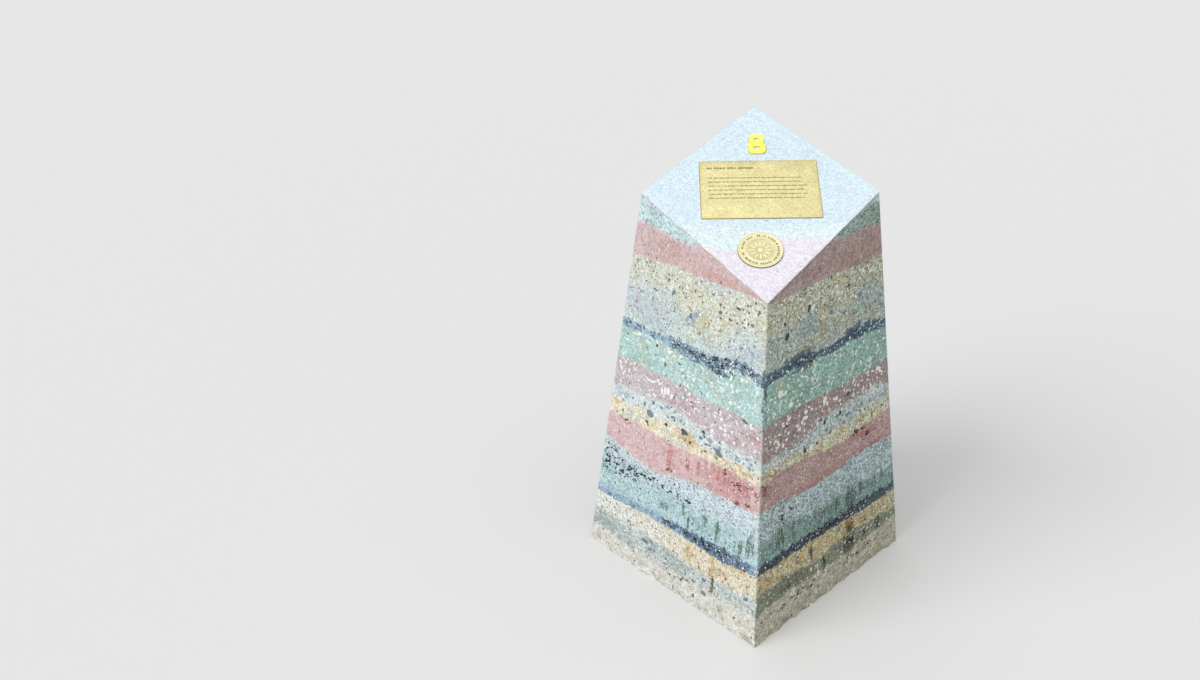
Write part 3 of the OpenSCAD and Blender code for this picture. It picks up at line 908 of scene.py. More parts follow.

# What each pour's material and stones are like. Grains: how dark and how pale the packed sand
# goes. Bump and deep: strength of its relief, and depth in millimetres. Shaded side: what the
# colours of the right face and of the face behind it are multiplied by, painted shade of these
# two faces, which are turned from the key light. Ochre, patches, pits and blocks: colours of the
# ochre stretch, of the second tone, of the pits' floors, darkened as painted shade in the holes,
# and of the gaps between broken blocks. Rust: strength of the rust stains. Blotches: colour,
# where the noise turns from none to full, strength, scale. Streaks: the same without the scale.
# Chips: scale, share of the cells, size, colours. Stones on each face: colour and shape, how
# many, least and greatest length in millimetres.
LOOKS = {
    "rough_foot": {
        "grains": (0.26, 0.14), "bump": 1.0, "deep": 2.2, "damp": (0.78, 0.75, 0.64),
        "blotches": [((196, 192, 172), 0.5, 0.66, 0.5, 34), ((232, 230, 220), 0.52, 0.64, 0.6, 48)],
        "chips": [(190, 0.1, 0.42, WHITES), (220, 0.05, 0.42, DARKS)],
        "stones": [
            ("cream chip", 18, 3, 7), ("white chip", 14, 2.5, 6), ("slate pebble", 4, 7, 12),
            ("charcoal chip", 8, 3, 6),
        ],
    },
    "lower_grey_pour": {
        "grains": (0.42, 0.22), "bump": 0.8, "damp": (0.51, 0.49, 0.35),
        "blotches": [((164, 178, 176), 0.48, 0.66, 0.6, 9), ((196, 196, 182), 0.54, 0.7, 0.4, 14)],
        "chips": [(190, 0.07, 0.42, WHITES), (240, 0.07, 0.42, DARKS)],
        "stones": [
            ("white chip", 40, 2.5, 6.5), ("cream chip", 14, 3, 6), ("slate pebble", 5, 8, 13),
            ("black chip", 10, 2.5, 5),
        ],
    },
    "lower_buff_pour": {
        "grains": (0.34, 0.18), "rust": 0.75, "ochre": (230, 223, 200), "damp": (0.79, 0.78, 0.61),
        "blotches": [((222, 210, 178), 0.5, 0.66, 0.5, 10), ((186, 174, 138), 0.52, 0.66, 0.5, 40)],
        "patches": (226, 190, 138), "streaks": [((210, 178, 124), 0.58, 0.7, 0.3)],
        "chips": [(210, 0.1, 0.42, DARKS), (260, 0.1, 0.42, WHITES)],
        "stones": [
            ("black chip", 34, 2, 5), ("white chip", 12, 2.5, 6), ("slate pebble", 4, 6, 10),
            ("brown chip", 16, 2.5, 6),
        ],
    },
    "lower_blue_seam": {
        "grains": (0.4, 0.2), "bump": 0.9, "damp": (0.15, 0.21, 0.2), "patches": (84, 106, 128),
        "pits": (40, 50, 60), "blotches": [((104, 126, 150), 0.46, 0.62, 0.6, 40)],
        "chips": [(200, 0.12, 0.45, FLECKS), (280, 0.18, 0.45, FLECKS), (220, 0.1, 0.42, DARKS)],
        "stones": [("white chip", 36, 1.5, 3.5), ("charcoal chip", 24, 2.5, 6)],
    },
    "blue_green_pour": {
        "grains": (0.38, 0.18), "damp": (0.53, 0.6, 0.53),
        "blotches": [((152, 188, 182), 0.45, 0.68, 0.5, 16), ((200, 222, 220), 0.5, 0.64, 0.5, 60)],
        "streaks": [((140, 168, 158), 0.56, 0.7, 0.4)],
        "chips": [(250, 0.11, 0.42, DARKS), (320, 0.06, 0.42, WHITES)],
        "stones": [("charcoal chip", 40, 2, 4), ("white chip", 14, 2, 4)],
    },
    "pale_grey_pour": {
        "grains": (0.4, 0.18), "damp": (0.79, 0.85, 0.82),
        "streaks": [((164, 180, 180), 0.56, 0.72, 0.3)],
        "chips": [(240, 0.17, 0.42, DARKS), (320, 0.08, 0.42, WHITES)],
        "stones": [("charcoal chip", 50, 2, 4), ("white chip", 20, 2, 4)],
    },
    "lower_red_pour": {
        "grains": (0.24, 0.14), "damp": (0.71, 0.69, 0.64), "patches": (206, 158, 157),
        "pits": (120, 66, 62),
        "blotches": [
            ((218, 192, 192), 0.45, 0.68, 0.5, 10), ((188, 138, 136), 0.52, 0.64, 0.45, 90),
        ],
        "streaks": [((190, 136, 134), 0.56, 0.66, 0.4), ((232, 212, 212), 0.57, 0.67, 0.45)],
        "chips": [(300, 0.08, 0.42, WHITES), (240, 0.06, 0.42, REDS)],
        "stones": [("white chip", 20, 2, 4), ("dark_red chip", 34, 2, 5)],
    },
    "ochre_pour": {
        "grains": (0.34, 0.18), "damp": (0.81, 0.84, 0.78), "patches": (214, 186, 128),
        "blotches": [
            ((220, 202, 156), 0.54, 0.64, 0.5, 30), ((212, 219, 214), 0.52, 0.62, 0.7, 38),
        ],
        "chips": [(210, 0.07, 0.42, DARKS), (260, 0.07, 0.42, WHITES)],
        "stones": [
            ("cream chip", 26, 3, 8), ("charcoal pebble", 4, 6, 10), ("brown chip", 14, 3, 6),
            ("blue_grey chip", 8, 3, 7), ("orange chip", 8, 4, 7), ("white chip", 20, 3, 7),
        ],
    },
    "pebbly_grey_pour": {
        "grains": (0.32, 0.16), "damp": (0.8, 0.85, 0.83),
        "blotches": [((186, 202, 212), 0.48, 0.68, 0.6, 26)],
        "chips": [
            (170, 0.1, 0.45, shade_stops("slate", "blue_grey", "charcoal")),
            (300, 0.06, 0.42, WHITES),
        ],
        "stones": [
            ("blue_grey pebble", 18, 4, 10), ("slate pebble", 16, 4, 10), ("black chip", 18, 3, 6),
            ("white chip", 36, 2.5, 7),
        ],
    },
    "mauve_pour": {
        "grains": (0.3, 0.16), "damp": (0.64, 0.58, 0.53),
        "blotches": [
            ((196, 176, 182), 0.48, 0.68, 0.6, 14), ((206, 160, 162), 0.55, 0.68, 0.5, 26),
        ],
        "chips": [(190, 0.06, 0.42, WHITES), (260, 0.07, 0.42, WHITES), (240, 0.05, 0.42, DARKS)],
        "stones": [
            ("white chip", 108, 3, 9), ("white pebble", 6, 5, 10), ("charcoal chip", 9, 3, 7),
            ("dark_red chip", 12, 2, 4), ("cream chip", 14, 3, 6),
        ],
    },
    "green_pour": {
        "grains": (0.3, 0.16), "damp": (0.69, 0.79, 0.71),
        "blotches": [((166, 194, 182), 0.45, 0.68, 0.6, 14), ((198, 208, 194), 0.5, 0.68, 0.6, 22)],
        "chips": [(190, 0.07, 0.42, WHITES), (260, 0.07, 0.42, WHITES), (240, 0.04, 0.42, DARKS)],
        "stones": [
            ("white chip", 108, 2.5, 8.5), ("cream chip", 50, 2.5, 8), ("orange chip", 4, 3, 6),
            ("charcoal chip", 14, 2, 5), ("white pebble", 5, 6, 10), ("brown chip", 5, 3, 6),
            ("cream pebble", 5, 5, 9),
        ],
    },
    "upper_blue_seam": {
        "grains": (0.42, 0.22), "bump": 0.9, "damp": (0.26, 0.36, 0.36), "patches": (124, 146, 164),
        "pits": (66, 84, 100), "blocks": (66, 88, 108),
        "blotches": [((116, 138, 156), 0.5, 0.6, 0.6, 40), ((176, 198, 218), 0.53, 0.6, 0.8, 34)],
        "chips": [(220, 0.1, 0.45, FLECKS), (300, 0.14, 0.45, FLECKS), (190, 0.06, 0.42, DARKS)],
        "stones": [
            ("black shard", 8, 4, 9), ("pale_blue chip", 8, 4, 9), ("white chip", 44, 1.8, 4),
        ],
    },
    "mottled_grey_pour": {
        "grains": (0.34, 0.18), "patches": (200, 212, 221), "rust": 0.6, "damp": (0.75, 0.79, 0.73),
        "blotches": [((214, 206, 186), 0.46, 0.62, 0.6, 12)],
        "streaks": [((196, 184, 160), 0.57, 0.7, 0.4)],
        "chips": [(210, 0.07, 0.42, MIXED), (300, 0.05, 0.42, WHITES)],
        "stones": [
            ("charcoal chip", 36, 2, 4.5), ("white chip", 60, 2, 5), ("blue_grey chip", 14, 3, 8),
            ("brown chip", 12, 3, 5), ("cream chip", 14, 3, 5),
        ],
    },
    "upper_buff_pour": {
        "grains": (0.34, 0.18), "patches": (202, 216, 228), "rust": 0.6, "damp": (0.81, 0.84, 0.75),
        "blotches": [((216, 206, 174), 0.45, 0.66, 0.6, 14)],
        "chips": [(190, 0.06, 0.42, DARKS), (230, 0.1, 0.42, WHITES)],
        "stones": [
            ("black chip", 34, 2, 5.5), ("brown chip", 36, 2, 5.5), ("white chip", 90, 2.5, 7.5),
            ("cream chip", 56, 2.5, 6.5), ("slate chip", 8, 4, 8), ("charcoal chip", 20, 2.5, 5),
        ],
    },
    "upper_red_pour": {
        "grains": (0.22, 0.14), "damp": (0.68, 0.67, 0.62), "patches": (210, 168, 160),
        "blotches": [((210, 176, 168), 0.45, 0.68, 0.6, 9), ((186, 146, 142), 0.52, 0.64, 0.4, 90)],
        "streaks": [((236, 222, 220), 0.55, 0.64, 0.55), ((180, 136, 130), 0.56, 0.67, 0.45)],
        "chips": [(340, 0.03, 0.42, WHITES), (260, 0.06, 0.42, REDS)],
        "stones": [("white chip", 14, 2, 3.5), ("dark_red chip", 14, 2, 3.5)],
    },
    "pale_green_pour": {
        "grains": (0.34, 0.16), "damp": (0.59, 0.65, 0.55),
        "blotches": [((176, 206, 200), 0.45, 0.68, 0.6, 14)],
        "chips": [(260, 0.14, 0.42, DARKS), (330, 0.03, 0.42, WHITES)],
        "stones": [("charcoal chip", 60, 2, 4), ("white chip", 8, 2, 4)],
    },
    "cap_pour": {
        "grains": (0.16, 0.1), "damp": (0.9, 0.9, 0.9),
        "chips": [(300, 0.1, 0.42, shade_stops("pale_blue", "blue_grey", "charcoal"))],
    },
}


def pour_material(number):
    """Ground concrete of one pour."""
    name = NAMES[number]
    look = LOOKS[name]
    r = Recipe(name.replace("pour", "concrete"))
    wobble = r.grain(70, 3) - 0.5
    fine = r.grain(240, 3) - 0.5
    colour = tone(POURS[number].tint)
    if "ochre" in look:
        colour = r.mix(r.mark("ochre"), colour, tone(look["ochre"]))
    for other, low, high, strength, scale in look.get("blotches", ()):
        colour = r.mix(r.step(r.grain(scale, 4), low, high) * strength, colour, tone(other))
    if "patches" in look:
        patch = r.step(r.mark("patch") + 1.5 * wobble + 1.2 * fine, 0.3, 0.6)
        colour = r.mix(patch * 0.75, colour, tone(look["patches"]))
    for other, low, high, strength in look.get("streaks", ()):
        drawn = r.grain(190, 4, 0.6, r.stretched(1, 1, 0.07 + 0.02 * strength))
        colour = r.mix(r.step(drawn, low, high) * strength, colour, tone(other))
    # Neighbouring pours run into each other
    for mark, other in (("below", number - 1), ("above", number + 1)):
        if 0 <= other < len(POURS):
            width = POURS[min(number, other)].run * MM
            reach = r.mark(mark) + wobble * (1.6 * width) + fine * (0.8 * width)
            near = r.step(reach, width, 0) * 0.5
            colour = r.mix(near, colour, tone(POURS[other].tint))
    # Painted shade: the faces turned from the key light are multiplied darker, with stronger clouds,
    # and their sand grains keep more contrast against the darker body
    damp = r.mark("damp")
    colour = r.mix(damp, colour, (*look["damp"], 1), "MULTIPLY")
    clouds = (r.grain(45, 6, 0.7) - 0.5) * (0.5 * damp + 0.3)
    colour = r.mix(1.0, colour, clouds + 1, "MULTIPLY")

    # Sand and chips, with outlines that aren't round
    colour = ground_grains(r, colour, *look["grains"], swing=0.7 * damp + 1)
    ragged = r.stretched(1, 1, 0.62, r.warped(380, 2.4 * MM))
    if "blocks" in look:
        gaps = r.cells(90, r.stretched(1, 1, 1.6), "DISTANCE_TO_EDGE")
        broken = r.step(r.grain(34, 3), 0.38, 0.52)
        outline = r.step(gaps + 0.2 * fine, 0.16, 0.05)
        colour = r.mix(outline * broken * 0.85, colour, tone(look["blocks"]))
    for scale, share, size, shades in look["chips"]:
        colour = small_chips(r, colour, scale, share, size, shades, ragged)

    # Stains, drawn out downwards in thin runs
    runs = r.step(r.grain(200, 4, 0.65, r.stretched(1, 1, 0.09)), 0.44, 0.6)
    for mark, strength, stain in (
        ("rust", look.get("rust", 0.6), RUSTED), ("reddened", 0.7, REDDER), ("algae", 0.9, MOSSY),
    ):
        shown = r.step(r.mark(mark) * (0.9 * runs + 0.55 + 3.4 * fine), 0.3, 0.8)
        colour = r.mix(shown * strength, colour, stain, "MULTIPLY")
    # The deepest hollows of the uneven foot are darker: partly dirt near the ground, partly painted
    # shade in the hollows
    cast = r.step(r.mark("cast") + 3 * fine, 2.5, 5)
    colour = r.mix(cast * 0.45, colour, tone(CAST_DIRT_AND_SHADE))
    # Painted shade: the floors of the holes are darkened, each pour to its own dark tone
    pit = r.step(r.mark("pit") + 0.8 * fine, 0.4, 0.9)
    colour = r.mix(pit * 0.9, colour, tone(look.get("pits", PIT_SHADE)))
    # Just under the edge of the cut the face is darker, and darker still on the faces turned from the
    # key light, which is painted shade. The worn arrises are paler, partly from wear and partly as a
    # painted highlight.
    brink = r.step(r.mark("brink") + 18 * wobble + 10 * fine, 6, 1)
    under_edge = r.mix(damp, tone(UNDER_CUT_TONE), tone(UNDER_CUT_SHADED_TONE))
    colour = r.mix(brink * 0.35, colour, under_edge)
    # Paler along the arris: partly wear, partly a painted highlight
    worn = r.step(r.mark("arris") + wobble * (4 * MM), 0.6 * MM, -1.0 * MM)
    colour = r.mix(worn * 0.3, colour, tone(ARRIS_WEAR_AND_HIGHLIGHT))
    bled = r.step(r.mark("bled") * (1 + 2.5 * wobble + 3.5 * fine), 0.35, 0.55)
    colour = r.mix(bled * 0.85, colour, tone(SLATE_LINE))
    height = 0.6 * r.grain(600, 2) + 0.4 * r.own(r.cells(460))
    if "deep" in look:
        height = height * 0.2 + r.grain(130, 5, 0.65)
    depth = look.get("deep", 0.3) * MM
    return r.finish(colour, 0.6 + 0.25 * pit + 0.1 * fine, height, depth, look.get("bump", 0.4))


# The cut face: its colours, and its chips as in the pours' looks. For each joint that comes
# through it: number, how softly its colours run into each other in millimetres, colour beyond.
TOP_CAP = (209, 228, 238)
TOP_BORDERS = [(16, 16, (219, 234, 236)), (15, 12, (229, 224, 234))]
TOP_CHIPS = [
    (420, 0.22, 0.42, shade_stops((156, 172, 206), (184, 200, 222))),
    (460, 0.2, 0.42, shade_stops((236, 244, 248), (230, 240, 246))),
    (300, 0.03, 0.34, shade_stops((112, 122, 132), (150, 140, 130))),
]
BORDER_REACH = 130 * MM
# The worn flats along its edges, clean and grimy
EDGE_CLEAN = (226, 232, 234)
EDGE_GRIMY = (186, 184, 182)


def border_on_cut(number, across):
    """How far up the slope a joint comes through the cut face, at places across it."""
    line, core = joints[number]
    rim = skin_point(np.arange(COLUMNS), line)
    rim = rim[rim[:, 1] < -20 * MM]
    share = (CUT_HEIGHT - core) / ((rim[:, 2] - core) - math.tan(FALL) * rim[:, 1])
    a, b = share * rim[:, 0], share * rim[:, 1] / math.cos(FALL)
    order = np.argsort(a)
    return np.interp(across, a[order], b[order])


def place_on_cut(r, middle=(0, 0, 0)):
    """Place on the cut face, or on an inlaid piece: across, uphill and outwards of its middle."""
    centre = CUT_MIDDLE + ACROSS * middle[0] + UPHILL * middle[1] + OUT_OF_CUT * middle[2]
    turned = r.node(
        "ShaderNodeMapping", {"vector_type": "TEXTURE"},
        {"Vector": r.place, "Location": centre, "Rotation": (FALL, 0, 0)},
    )
    return r.node("ShaderNodeSeparateXYZ", {}, {0: turned}, "X")


def cut_face_material():
    """The cut face: pale blue-white, with a faint green and a pink stretch at its lower corner."""
    r = Recipe("ground_top_concrete")
    across = place_on_cut(r)
    uphill = across.also("Y")
    wobble = r.grain(60, 4) - 0.5
    fine = r.grain(420, 2) - 0.5
    speckle = r.own(r.cells(330))
    places = np.linspace(-BORDER_REACH, BORDER_REACH, 9)
    colour = tone(TOP_CAP)
    for number, soft, tint in TOP_BORDERS:
        lines = border_on_cut(number, places)
        low, high = float(lines.min()) - 1 * MM, float(lines.max()) + 1 * MM
        stops = [
            (float(p / (2 * BORDER_REACH) + 0.5), (*[float((v - low) / (high - low))] * 3, 1.0))
            for p, v in zip(places, lines)
        ]
        share = across * (1 / (2 * BORDER_REACH)) + 0.5
        border = r.channel(r.ramp(share, stops), "Red") * (high - low) + low
        below = border - uphill + wobble * (2.6 * soft * MM) + fine * (1.4 * soft * MM)
        colour = r.mix(r.step(below, -soft * MM / 2, soft * MM / 2), colour, tone(tint))
    colour = ground_grains(r, colour, 0.2, 0.11, finer=1.3)
    ragged = r.warped(500, 1.6 * MM)
    for scale, share, size, shades in TOP_CHIPS:
        colour = small_chips(r, colour, scale, share, size, shades, ragged)
    return r.finish(colour, 0.5 + 0.1 * speckle, r.grain(700, 2), 0.2 * MM, 0.3)


def worn_edge_material():
    """The worn flats along the edges of the cut face."""
    r = Recipe("worn_edge_concrete")
    patchy = r.step(r.grain(60, 3), 0.4, 0.6)
    colour = r.mix(patchy, tone(EDGE_CLEAN), tone(EDGE_GRIMY))
    return r.finish(colour, 0.6 + 0.1 * patchy, r.grain(500, 2), 0.3 * MM, 0.6)


def stone_material(name):
    """A stone ground flat: no two of quite the same brightness."""
    r = Recipe(name + "_stone")
    body = STONES[name]
    single = r.own(r.cells(55), "Green")
    veins = r.grain(500, 3)
    darkest = 0.88 if name == "white" else 0.76
    colour = r.mix(0.65 * single + 0.35 * veins, tone(body, darkest), tone(body, 1.12))
    return r.finish(colour, 0.42 + 0.2 * veins, veins, 0.15 * MM, 0.4)


# Stones let into the ground faces


def stone_master(name, corners, uneven, rounding, seed, bow=0.0):
    """An uneven flat-topped stone, one unit across, with its top at the origin."""
    bpy.ops.mesh.primitive_cylinder_add(
        vertices=corners, radius=0.5, depth=1, location=(0, 0, -0.5), end_fill_type="NGON"
    )
    piece = bpy.context.object
    piece.name = name
    seat(piece, piece.matrix_world.copy())
    draw = random.Random(seed)
    shares = [draw.uniform(1 - uneven, 1 + uneven) for _ in range(corners)]
    for vertex in piece.data.vertices:
        x, y, z = vertex.co
        share = shares[round(math.atan2(y, x) / (2 * math.pi / corners)) % corners]
        vertex.co = (x * share, y * share + bow * x * x, z)
    if rounding:
        pick_top(piece)
        with edit_mode(piece):
            bpy.ops.mesh.inset(thickness=rounding, depth=0.06)
    return piece


MASTERS = {
    "chip": [stone_master("chip", 6, 0.24, 0, seed) for seed in range(5)],
    "shard": [stone_master("shard", 5, 0.3, 0, seed) for seed in range(3)],
    "pebble": [stone_master("pebble", 11, 0.12, 0.08, seed) for seed in range(4)],
    "shell": [stone_master("shell", 18, 0.05, 0, 1, bow=9.0)],
}
stone_looks = {name: stone_material(name) for name in STONES}


# How far a stone stands proud of its face, least and most in millimetres, and how deep it
# goes into a ground face and into the uneven foot
PROUD = (0.08, 0.22)
DEEP = 2 * MM
DEEP_IN_CAST = 6 * MM


def set_stone(kind, face_number, along, height, wide, high, turn, draw):
    """One stone let into a face, a hair proud of it, and deeper where the foot is uneven."""
    colour, shape = kind.split()
    point, out, tangent, up = on_face(face_number, along, height)
    sunk = float(rough_cast(np.array([point]), np.array([height]))[0])
    deep = DEEP if sunk < 0.5 * MM else DEEP_IN_CAST
    proud = draw.uniform(*PROUD) * MM - sunk
    level = tangent * math.cos(turn) + up * math.sin(turn)
    matrix = Matrix((level * wide, out.cross(level) * high, out * deep)).transposed().to_4x4()
    matrix.translation = point + out * proud
    return copy_of(draw.choice(MASTERS[shape]), matrix, stone_looks[colour])


# Stones that stand out, on the two faces that are seen, in millimetres: place along the face,
# height, width and height of the stone, turn in degrees, colour and shape. The hidden faces
# mirror them.
STANDOUTS = {
    LEFT: [
        (99, 643, 12, 4, 0, "black shard"), (-97, 611, 16, 4, -8, "slate shard"),
        (-50, 620, 7, 14, -30, "slate chip"), (-12, 582, 8, 15, -20, "blue_grey shard"),
        (-5, 592, 9, 12, 20, "slate chip"), (10, 600, 12, 19, -25, "blue_grey chip"),
        (2, 585, 9, 11, 0, "blue_grey chip"), (134, 624, 9, 7, 0, "slate chip"),
        (62, 622, 8, 6, 20, "brown chip"), (74, 627, 6, 5, 0, "brown chip"),
        (85, 617, 9, 6, -20, "brown chip"), (92, 629, 6, 4, 0, "charcoal chip"),
        (44, 650, 10, 5, 20, "brown chip"), (120, 655, 6, 6, 0, "brown chip"),
        (32, 600, 9, 6, 20, "orange chip"), (-130, 596, 8, 7, 0, "blue_grey chip"),
        (-150, 519, 24, 9, 4, "blue_grey chip"), (-108, 521, 26, 9, -3, "pale_blue chip"),
        (-80, 521, 20, 10, 6, "pale_blue chip"), (-55, 521, 14, 11, -6, "pale_blue chip"),
        (-28, 527, 12, 4, -30, "black shard"), (4, 524, 16, 4, -20, "black shard"),
        (32, 528, 13, 5, 20, "black shard"), (60, 535, 15, 4, -35, "black shard"),
        (84, 541, 10, 5, 40, "black shard"), (48, 520, 10, 4, 30, "black shard"),
        (-55, 475, 7, 10, 0, "brown chip"), (-87, 455, 9, 7, 20, "cream pebble"),
        (97, 468, 7, 9, 10, "orange chip"), (106, 465, 9, 8, 0, "white pebble"),
        (116, 468, 8, 8, 0, "cream pebble"), (-80, 505, 5, 7, 0, "black chip"),
        (30, 478, 9, 5, -20, "cream chip"), (-20, 490, 10, 4, -10, "brown chip"),
        (-88, 427, 40, 4, 3, "white shell"), (-58, 419, 6, 15, 15, "white pebble"),
        (-50, 423, 6, 16, 5, "white pebble"), (-42, 424, 7, 16, -5, "white pebble"),
        (-33, 418, 7, 13, -20, "white pebble"), (0, 431, 6, 19, 8, "blue_grey shard"),
        (83, 438, 5, 14, 15, "slate shard"), (140, 444, 20, 4, -12, "charcoal shard"),
        (-77, 387, 9, 7, 0, "slate pebble"), (-56, 385, 10, 8, 0, "blue_grey pebble"),
        (-25, 378, 12, 6, 10, "slate pebble"), (52, 382, 8, 5, -20, "black chip"),
        (68, 371, 14, 8, 0, "blue_grey pebble"), (-84, 360, 17, 15, -20, "slate pebble"),
        (6, 361, 20, 10, -12, "charcoal pebble"), (-40, 356, 9, 7, 0, "black chip"),
        (-91, 339, 15, 7, -50, "charcoal shard"), (92, 356, 19, 13, -25, "slate pebble"),
        (-70, 77, 19, 10, -6, "slate pebble"), (-54, 65, 12, 8, 0, "slate pebble"),
        (92, 45, 15, 10, 0, "slate pebble"), (-116, 100, 9, 6, 0, "blue_grey pebble"),
    ],
    RIGHT: [
        (25, 642, 9, 6, 0, "white pebble"), (40, 625, 8, 8, 0, "white chip"),
        (59, 631, 9, 6, 20, "black chip"), (-52, 626, 8, 19, -35, "black chip"),
        (-42, 624, 7, 14, -30, "white chip"), (-6, 607, 11, 7, 0, "brown chip"),
        (-112, 595, 10, 15, -30, "black chip"), (-117, 620, 7, 10, 0, "black chip"),
        (92, 602, 10, 12, 0, "slate pebble"), (10, 597, 13, 9, -30, "slate chip"),
        (47, 584, 11, 8, 20, "slate chip"), (-90, 640, 9, 5, 0, "cream chip"),
        (-129, 512, 9, 9, 0, "orange chip"), (-40, 515, 9, 5, 0, "orange chip"),
        (-133, 494, 13, 16, 0, "white pebble"), (-106, 462, 12, 11, 0, "white pebble"),
        (-11, 431, 10, 15, -25, "white pebble"), (152, 430, 16, 8, -15, "white pebble"),
        (114, 397, 6, 15, 10, "cream shard"), (-65, 430, 10, 9, 0, "white pebble"),
        (22, 420, 10, 7, 0, "white pebble"), (-112, 436, 11, 6, 20, "white pebble"),
        (-118, 424, 10, 5, 0, "black shard"), (60, 415, 22, 6, 8, "black shard"),
        (-150, 408, 8, 6, 30, "white chip"), (-140, 396, 7, 7, 0, "white chip"),
        (-163, 412, 6, 8, 0, "white chip"), (-120, 398, 8, 6, 0, "white chip"),
        (-76, 414, 7, 9, 0, "white chip"), (-84, 404, 8, 7, 0, "white chip"),
        (-12, 385, 8, 10, 0, "black pebble"), (-70, 353, 9, 9, 0, "black pebble"),
        (34, 385, 7, 11, 0, "black pebble"), (55, 372, 10, 9, 0, "slate pebble"),
        (-52, 352, 12, 7, 30, "white pebble"), (4, 358, 11, 9, 0, "slate pebble"),
        (105, 315, 7, 7, 0, "dark_red chip"), (-177, 327, 8, 8, 0, "dark_red chip"),
        (-60, 128, 10, 9, 0, "charcoal pebble"), (30, 130, 12, 9, 30, "slate pebble"),
    ],
}
standout_pours = {name: [] for name in NAMES}
for face, rows in STANDOUTS.items():
    for row in rows:
        along, height = row[0] * MM, row[1] * MM
        spot = np.array([on_face(face, along, height)[0]])
        for number, name in enumerate(NAMES):
            if joint_height(number, spot)[0] <= height < joint_height(number + 1, spot)[0]:
                standout_pours[name].append((face, *row))


# Scattered stones: least and greatest height as a share of their width, how far they keep
# from the arrises, and how far their middles keep from a joint, as a share of their height,
# and from the ground, as a share of their width
FLATNESS = (0.35, 0.85)
OFF_ARRIS = 6 * MM
OFF_JOINT = 0.4
OFF_GROUND = 0.6


def stones_of(number):
    """All the stones of one pour: those that stand out, and the scattered ones."""
    name = NAMES[number]
    draw = random.Random(100 + number)
    stones = []
    for face, along, height, wide, high, turn, kind in standout_pours[name]:
        for side, mirrored in ((face, 1), (3 - face, -1)):
            stones.append(set_stone(
                kind, side, mirrored * along * MM, height * MM, wide * MM, high * MM,
                math.radians(mirrored * turn), draw,
            ))
    for kind, count, least, greatest in LOOKS[name].get("stones", ()):
        for face_number in range(4):
            for _ in range(count):
                wide = draw.uniform(least, greatest) * MM
                high = wide * draw.uniform(*FLATNESS)
                place, level = draw.uniform(-1, 1), draw.uniform(0, 1)
                turn = draw.uniform(0, math.pi)
                middle = (joints[number][1] + joints[number + 1][1]) / 2
                along = place * (half_side(middle) - wide / 2 - OFF_ARRIS)
                spot = np.array([on_face(face_number, along, middle)[0]])
                low = max(joint_height(number, spot)[0] + OFF_JOINT * high, OFF_GROUND * wide)
                top = joint_height(number + 1, spot)[0] - OFF_JOINT * high
                height = low + level * (top - low)
                point = on_face(face_number, along, height)[0]
                under = (CUT_MIDDLE - point).dot(OUT_OF_CUT)
                if top > low and under > wide / 2 + ARRIS_W:
                    stones.append(set_stone(
                        kind, face_number, along, height, wide, high, turn, draw
                    ))
    return stones


TOP_SLOT, EDGE_SLOT = 1, 2
top_look = cut_face_material()
edge_look = worn_edge_material()
for number, name in enumerate(NAMES):
    piece = dressed[name]
    coat(piece, pour_material(number))
    if name in CUT_POURS:
        piece.data.materials.append(top_look)
        piece.data.materials.append(edge_look)
        _, middles, normals, _ = mesh_arrays(piece)
        slots = np.zeros(len(normals), np.int32)
        slots[normals @ np.array(OUT_OF_CUT) > 0.9999] = TOP_SLOT
        for edge, normal in worn_flats():
            slots[(normals @ np.array(normal) > 0.999) & (middles[:, 2] > CUT_HEIGHT / 2)] = EDGE_SLOT
        piece.data.polygons.foreach_set("material_index", slots)
        pick(piece, "FACE", slots == TOP_SLOT)
        with edit_mode(piece):
            bpy.ops.mesh.region_to_loop()
            bpy.ops.mesh.mark_sharp()
    stones = stones_of(number)
    if stones:
        join(piece, stones)
    smooth(piece)
    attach(piece, "root")
    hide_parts(name)
for masters in MASTERS.values():
    for master in masters:
        bpy.data.objects.remove(master)


# Inlaid pieces

plate_middle, plate_size = on_cut("brass_plate")
medal_middle, medal_size = on_cut("medallion")
MEDAL_R = medal_size[0] / 2
MEDAL_T = medal_size[2]
PLATE_T = plate_size[2]
PLATE_TURN = math.radians(0.6)
# The plate is turned a little, so its own width and height are worked back from its box
cosine, sine = math.cos(PLATE_TURN), math.sin(PLATE_TURN)
PLATE_W = (plate_size[0] * cosine - plate_size[1] * sine) / (cosine ** 2 - sine ** 2)
PLATE_H = (plate_size[1] * cosine - plate_size[0] * sine) / (cosine ** 2 - sine ** 2)

# Corners and softened edges
PLATE_CORNER = 2 * MM
PLATE_EDGE = 0.6 * MM
MEDAL_EDGE = 0.2 * MM
NUMERAL_EDGE = 0.7 * MM

BRASS = (210, 202, 154)
BRASS_DULL = (176, 166, 118)
BRASS_EDGE = (196, 172, 104)
PATINA = (112, 104, 66)
CAST_BRASS = (222, 217, 180)
CAST_DULL = (196, 190, 146)
CAST_SUNK = (140, 130, 84)
ENGRAVED_DARK = (70, 68, 44)
ENGRAVED_PALE = (128, 118, 76)
YELLOW = (252, 236, 52)
YELLOW_PALE = (255, 250, 112)


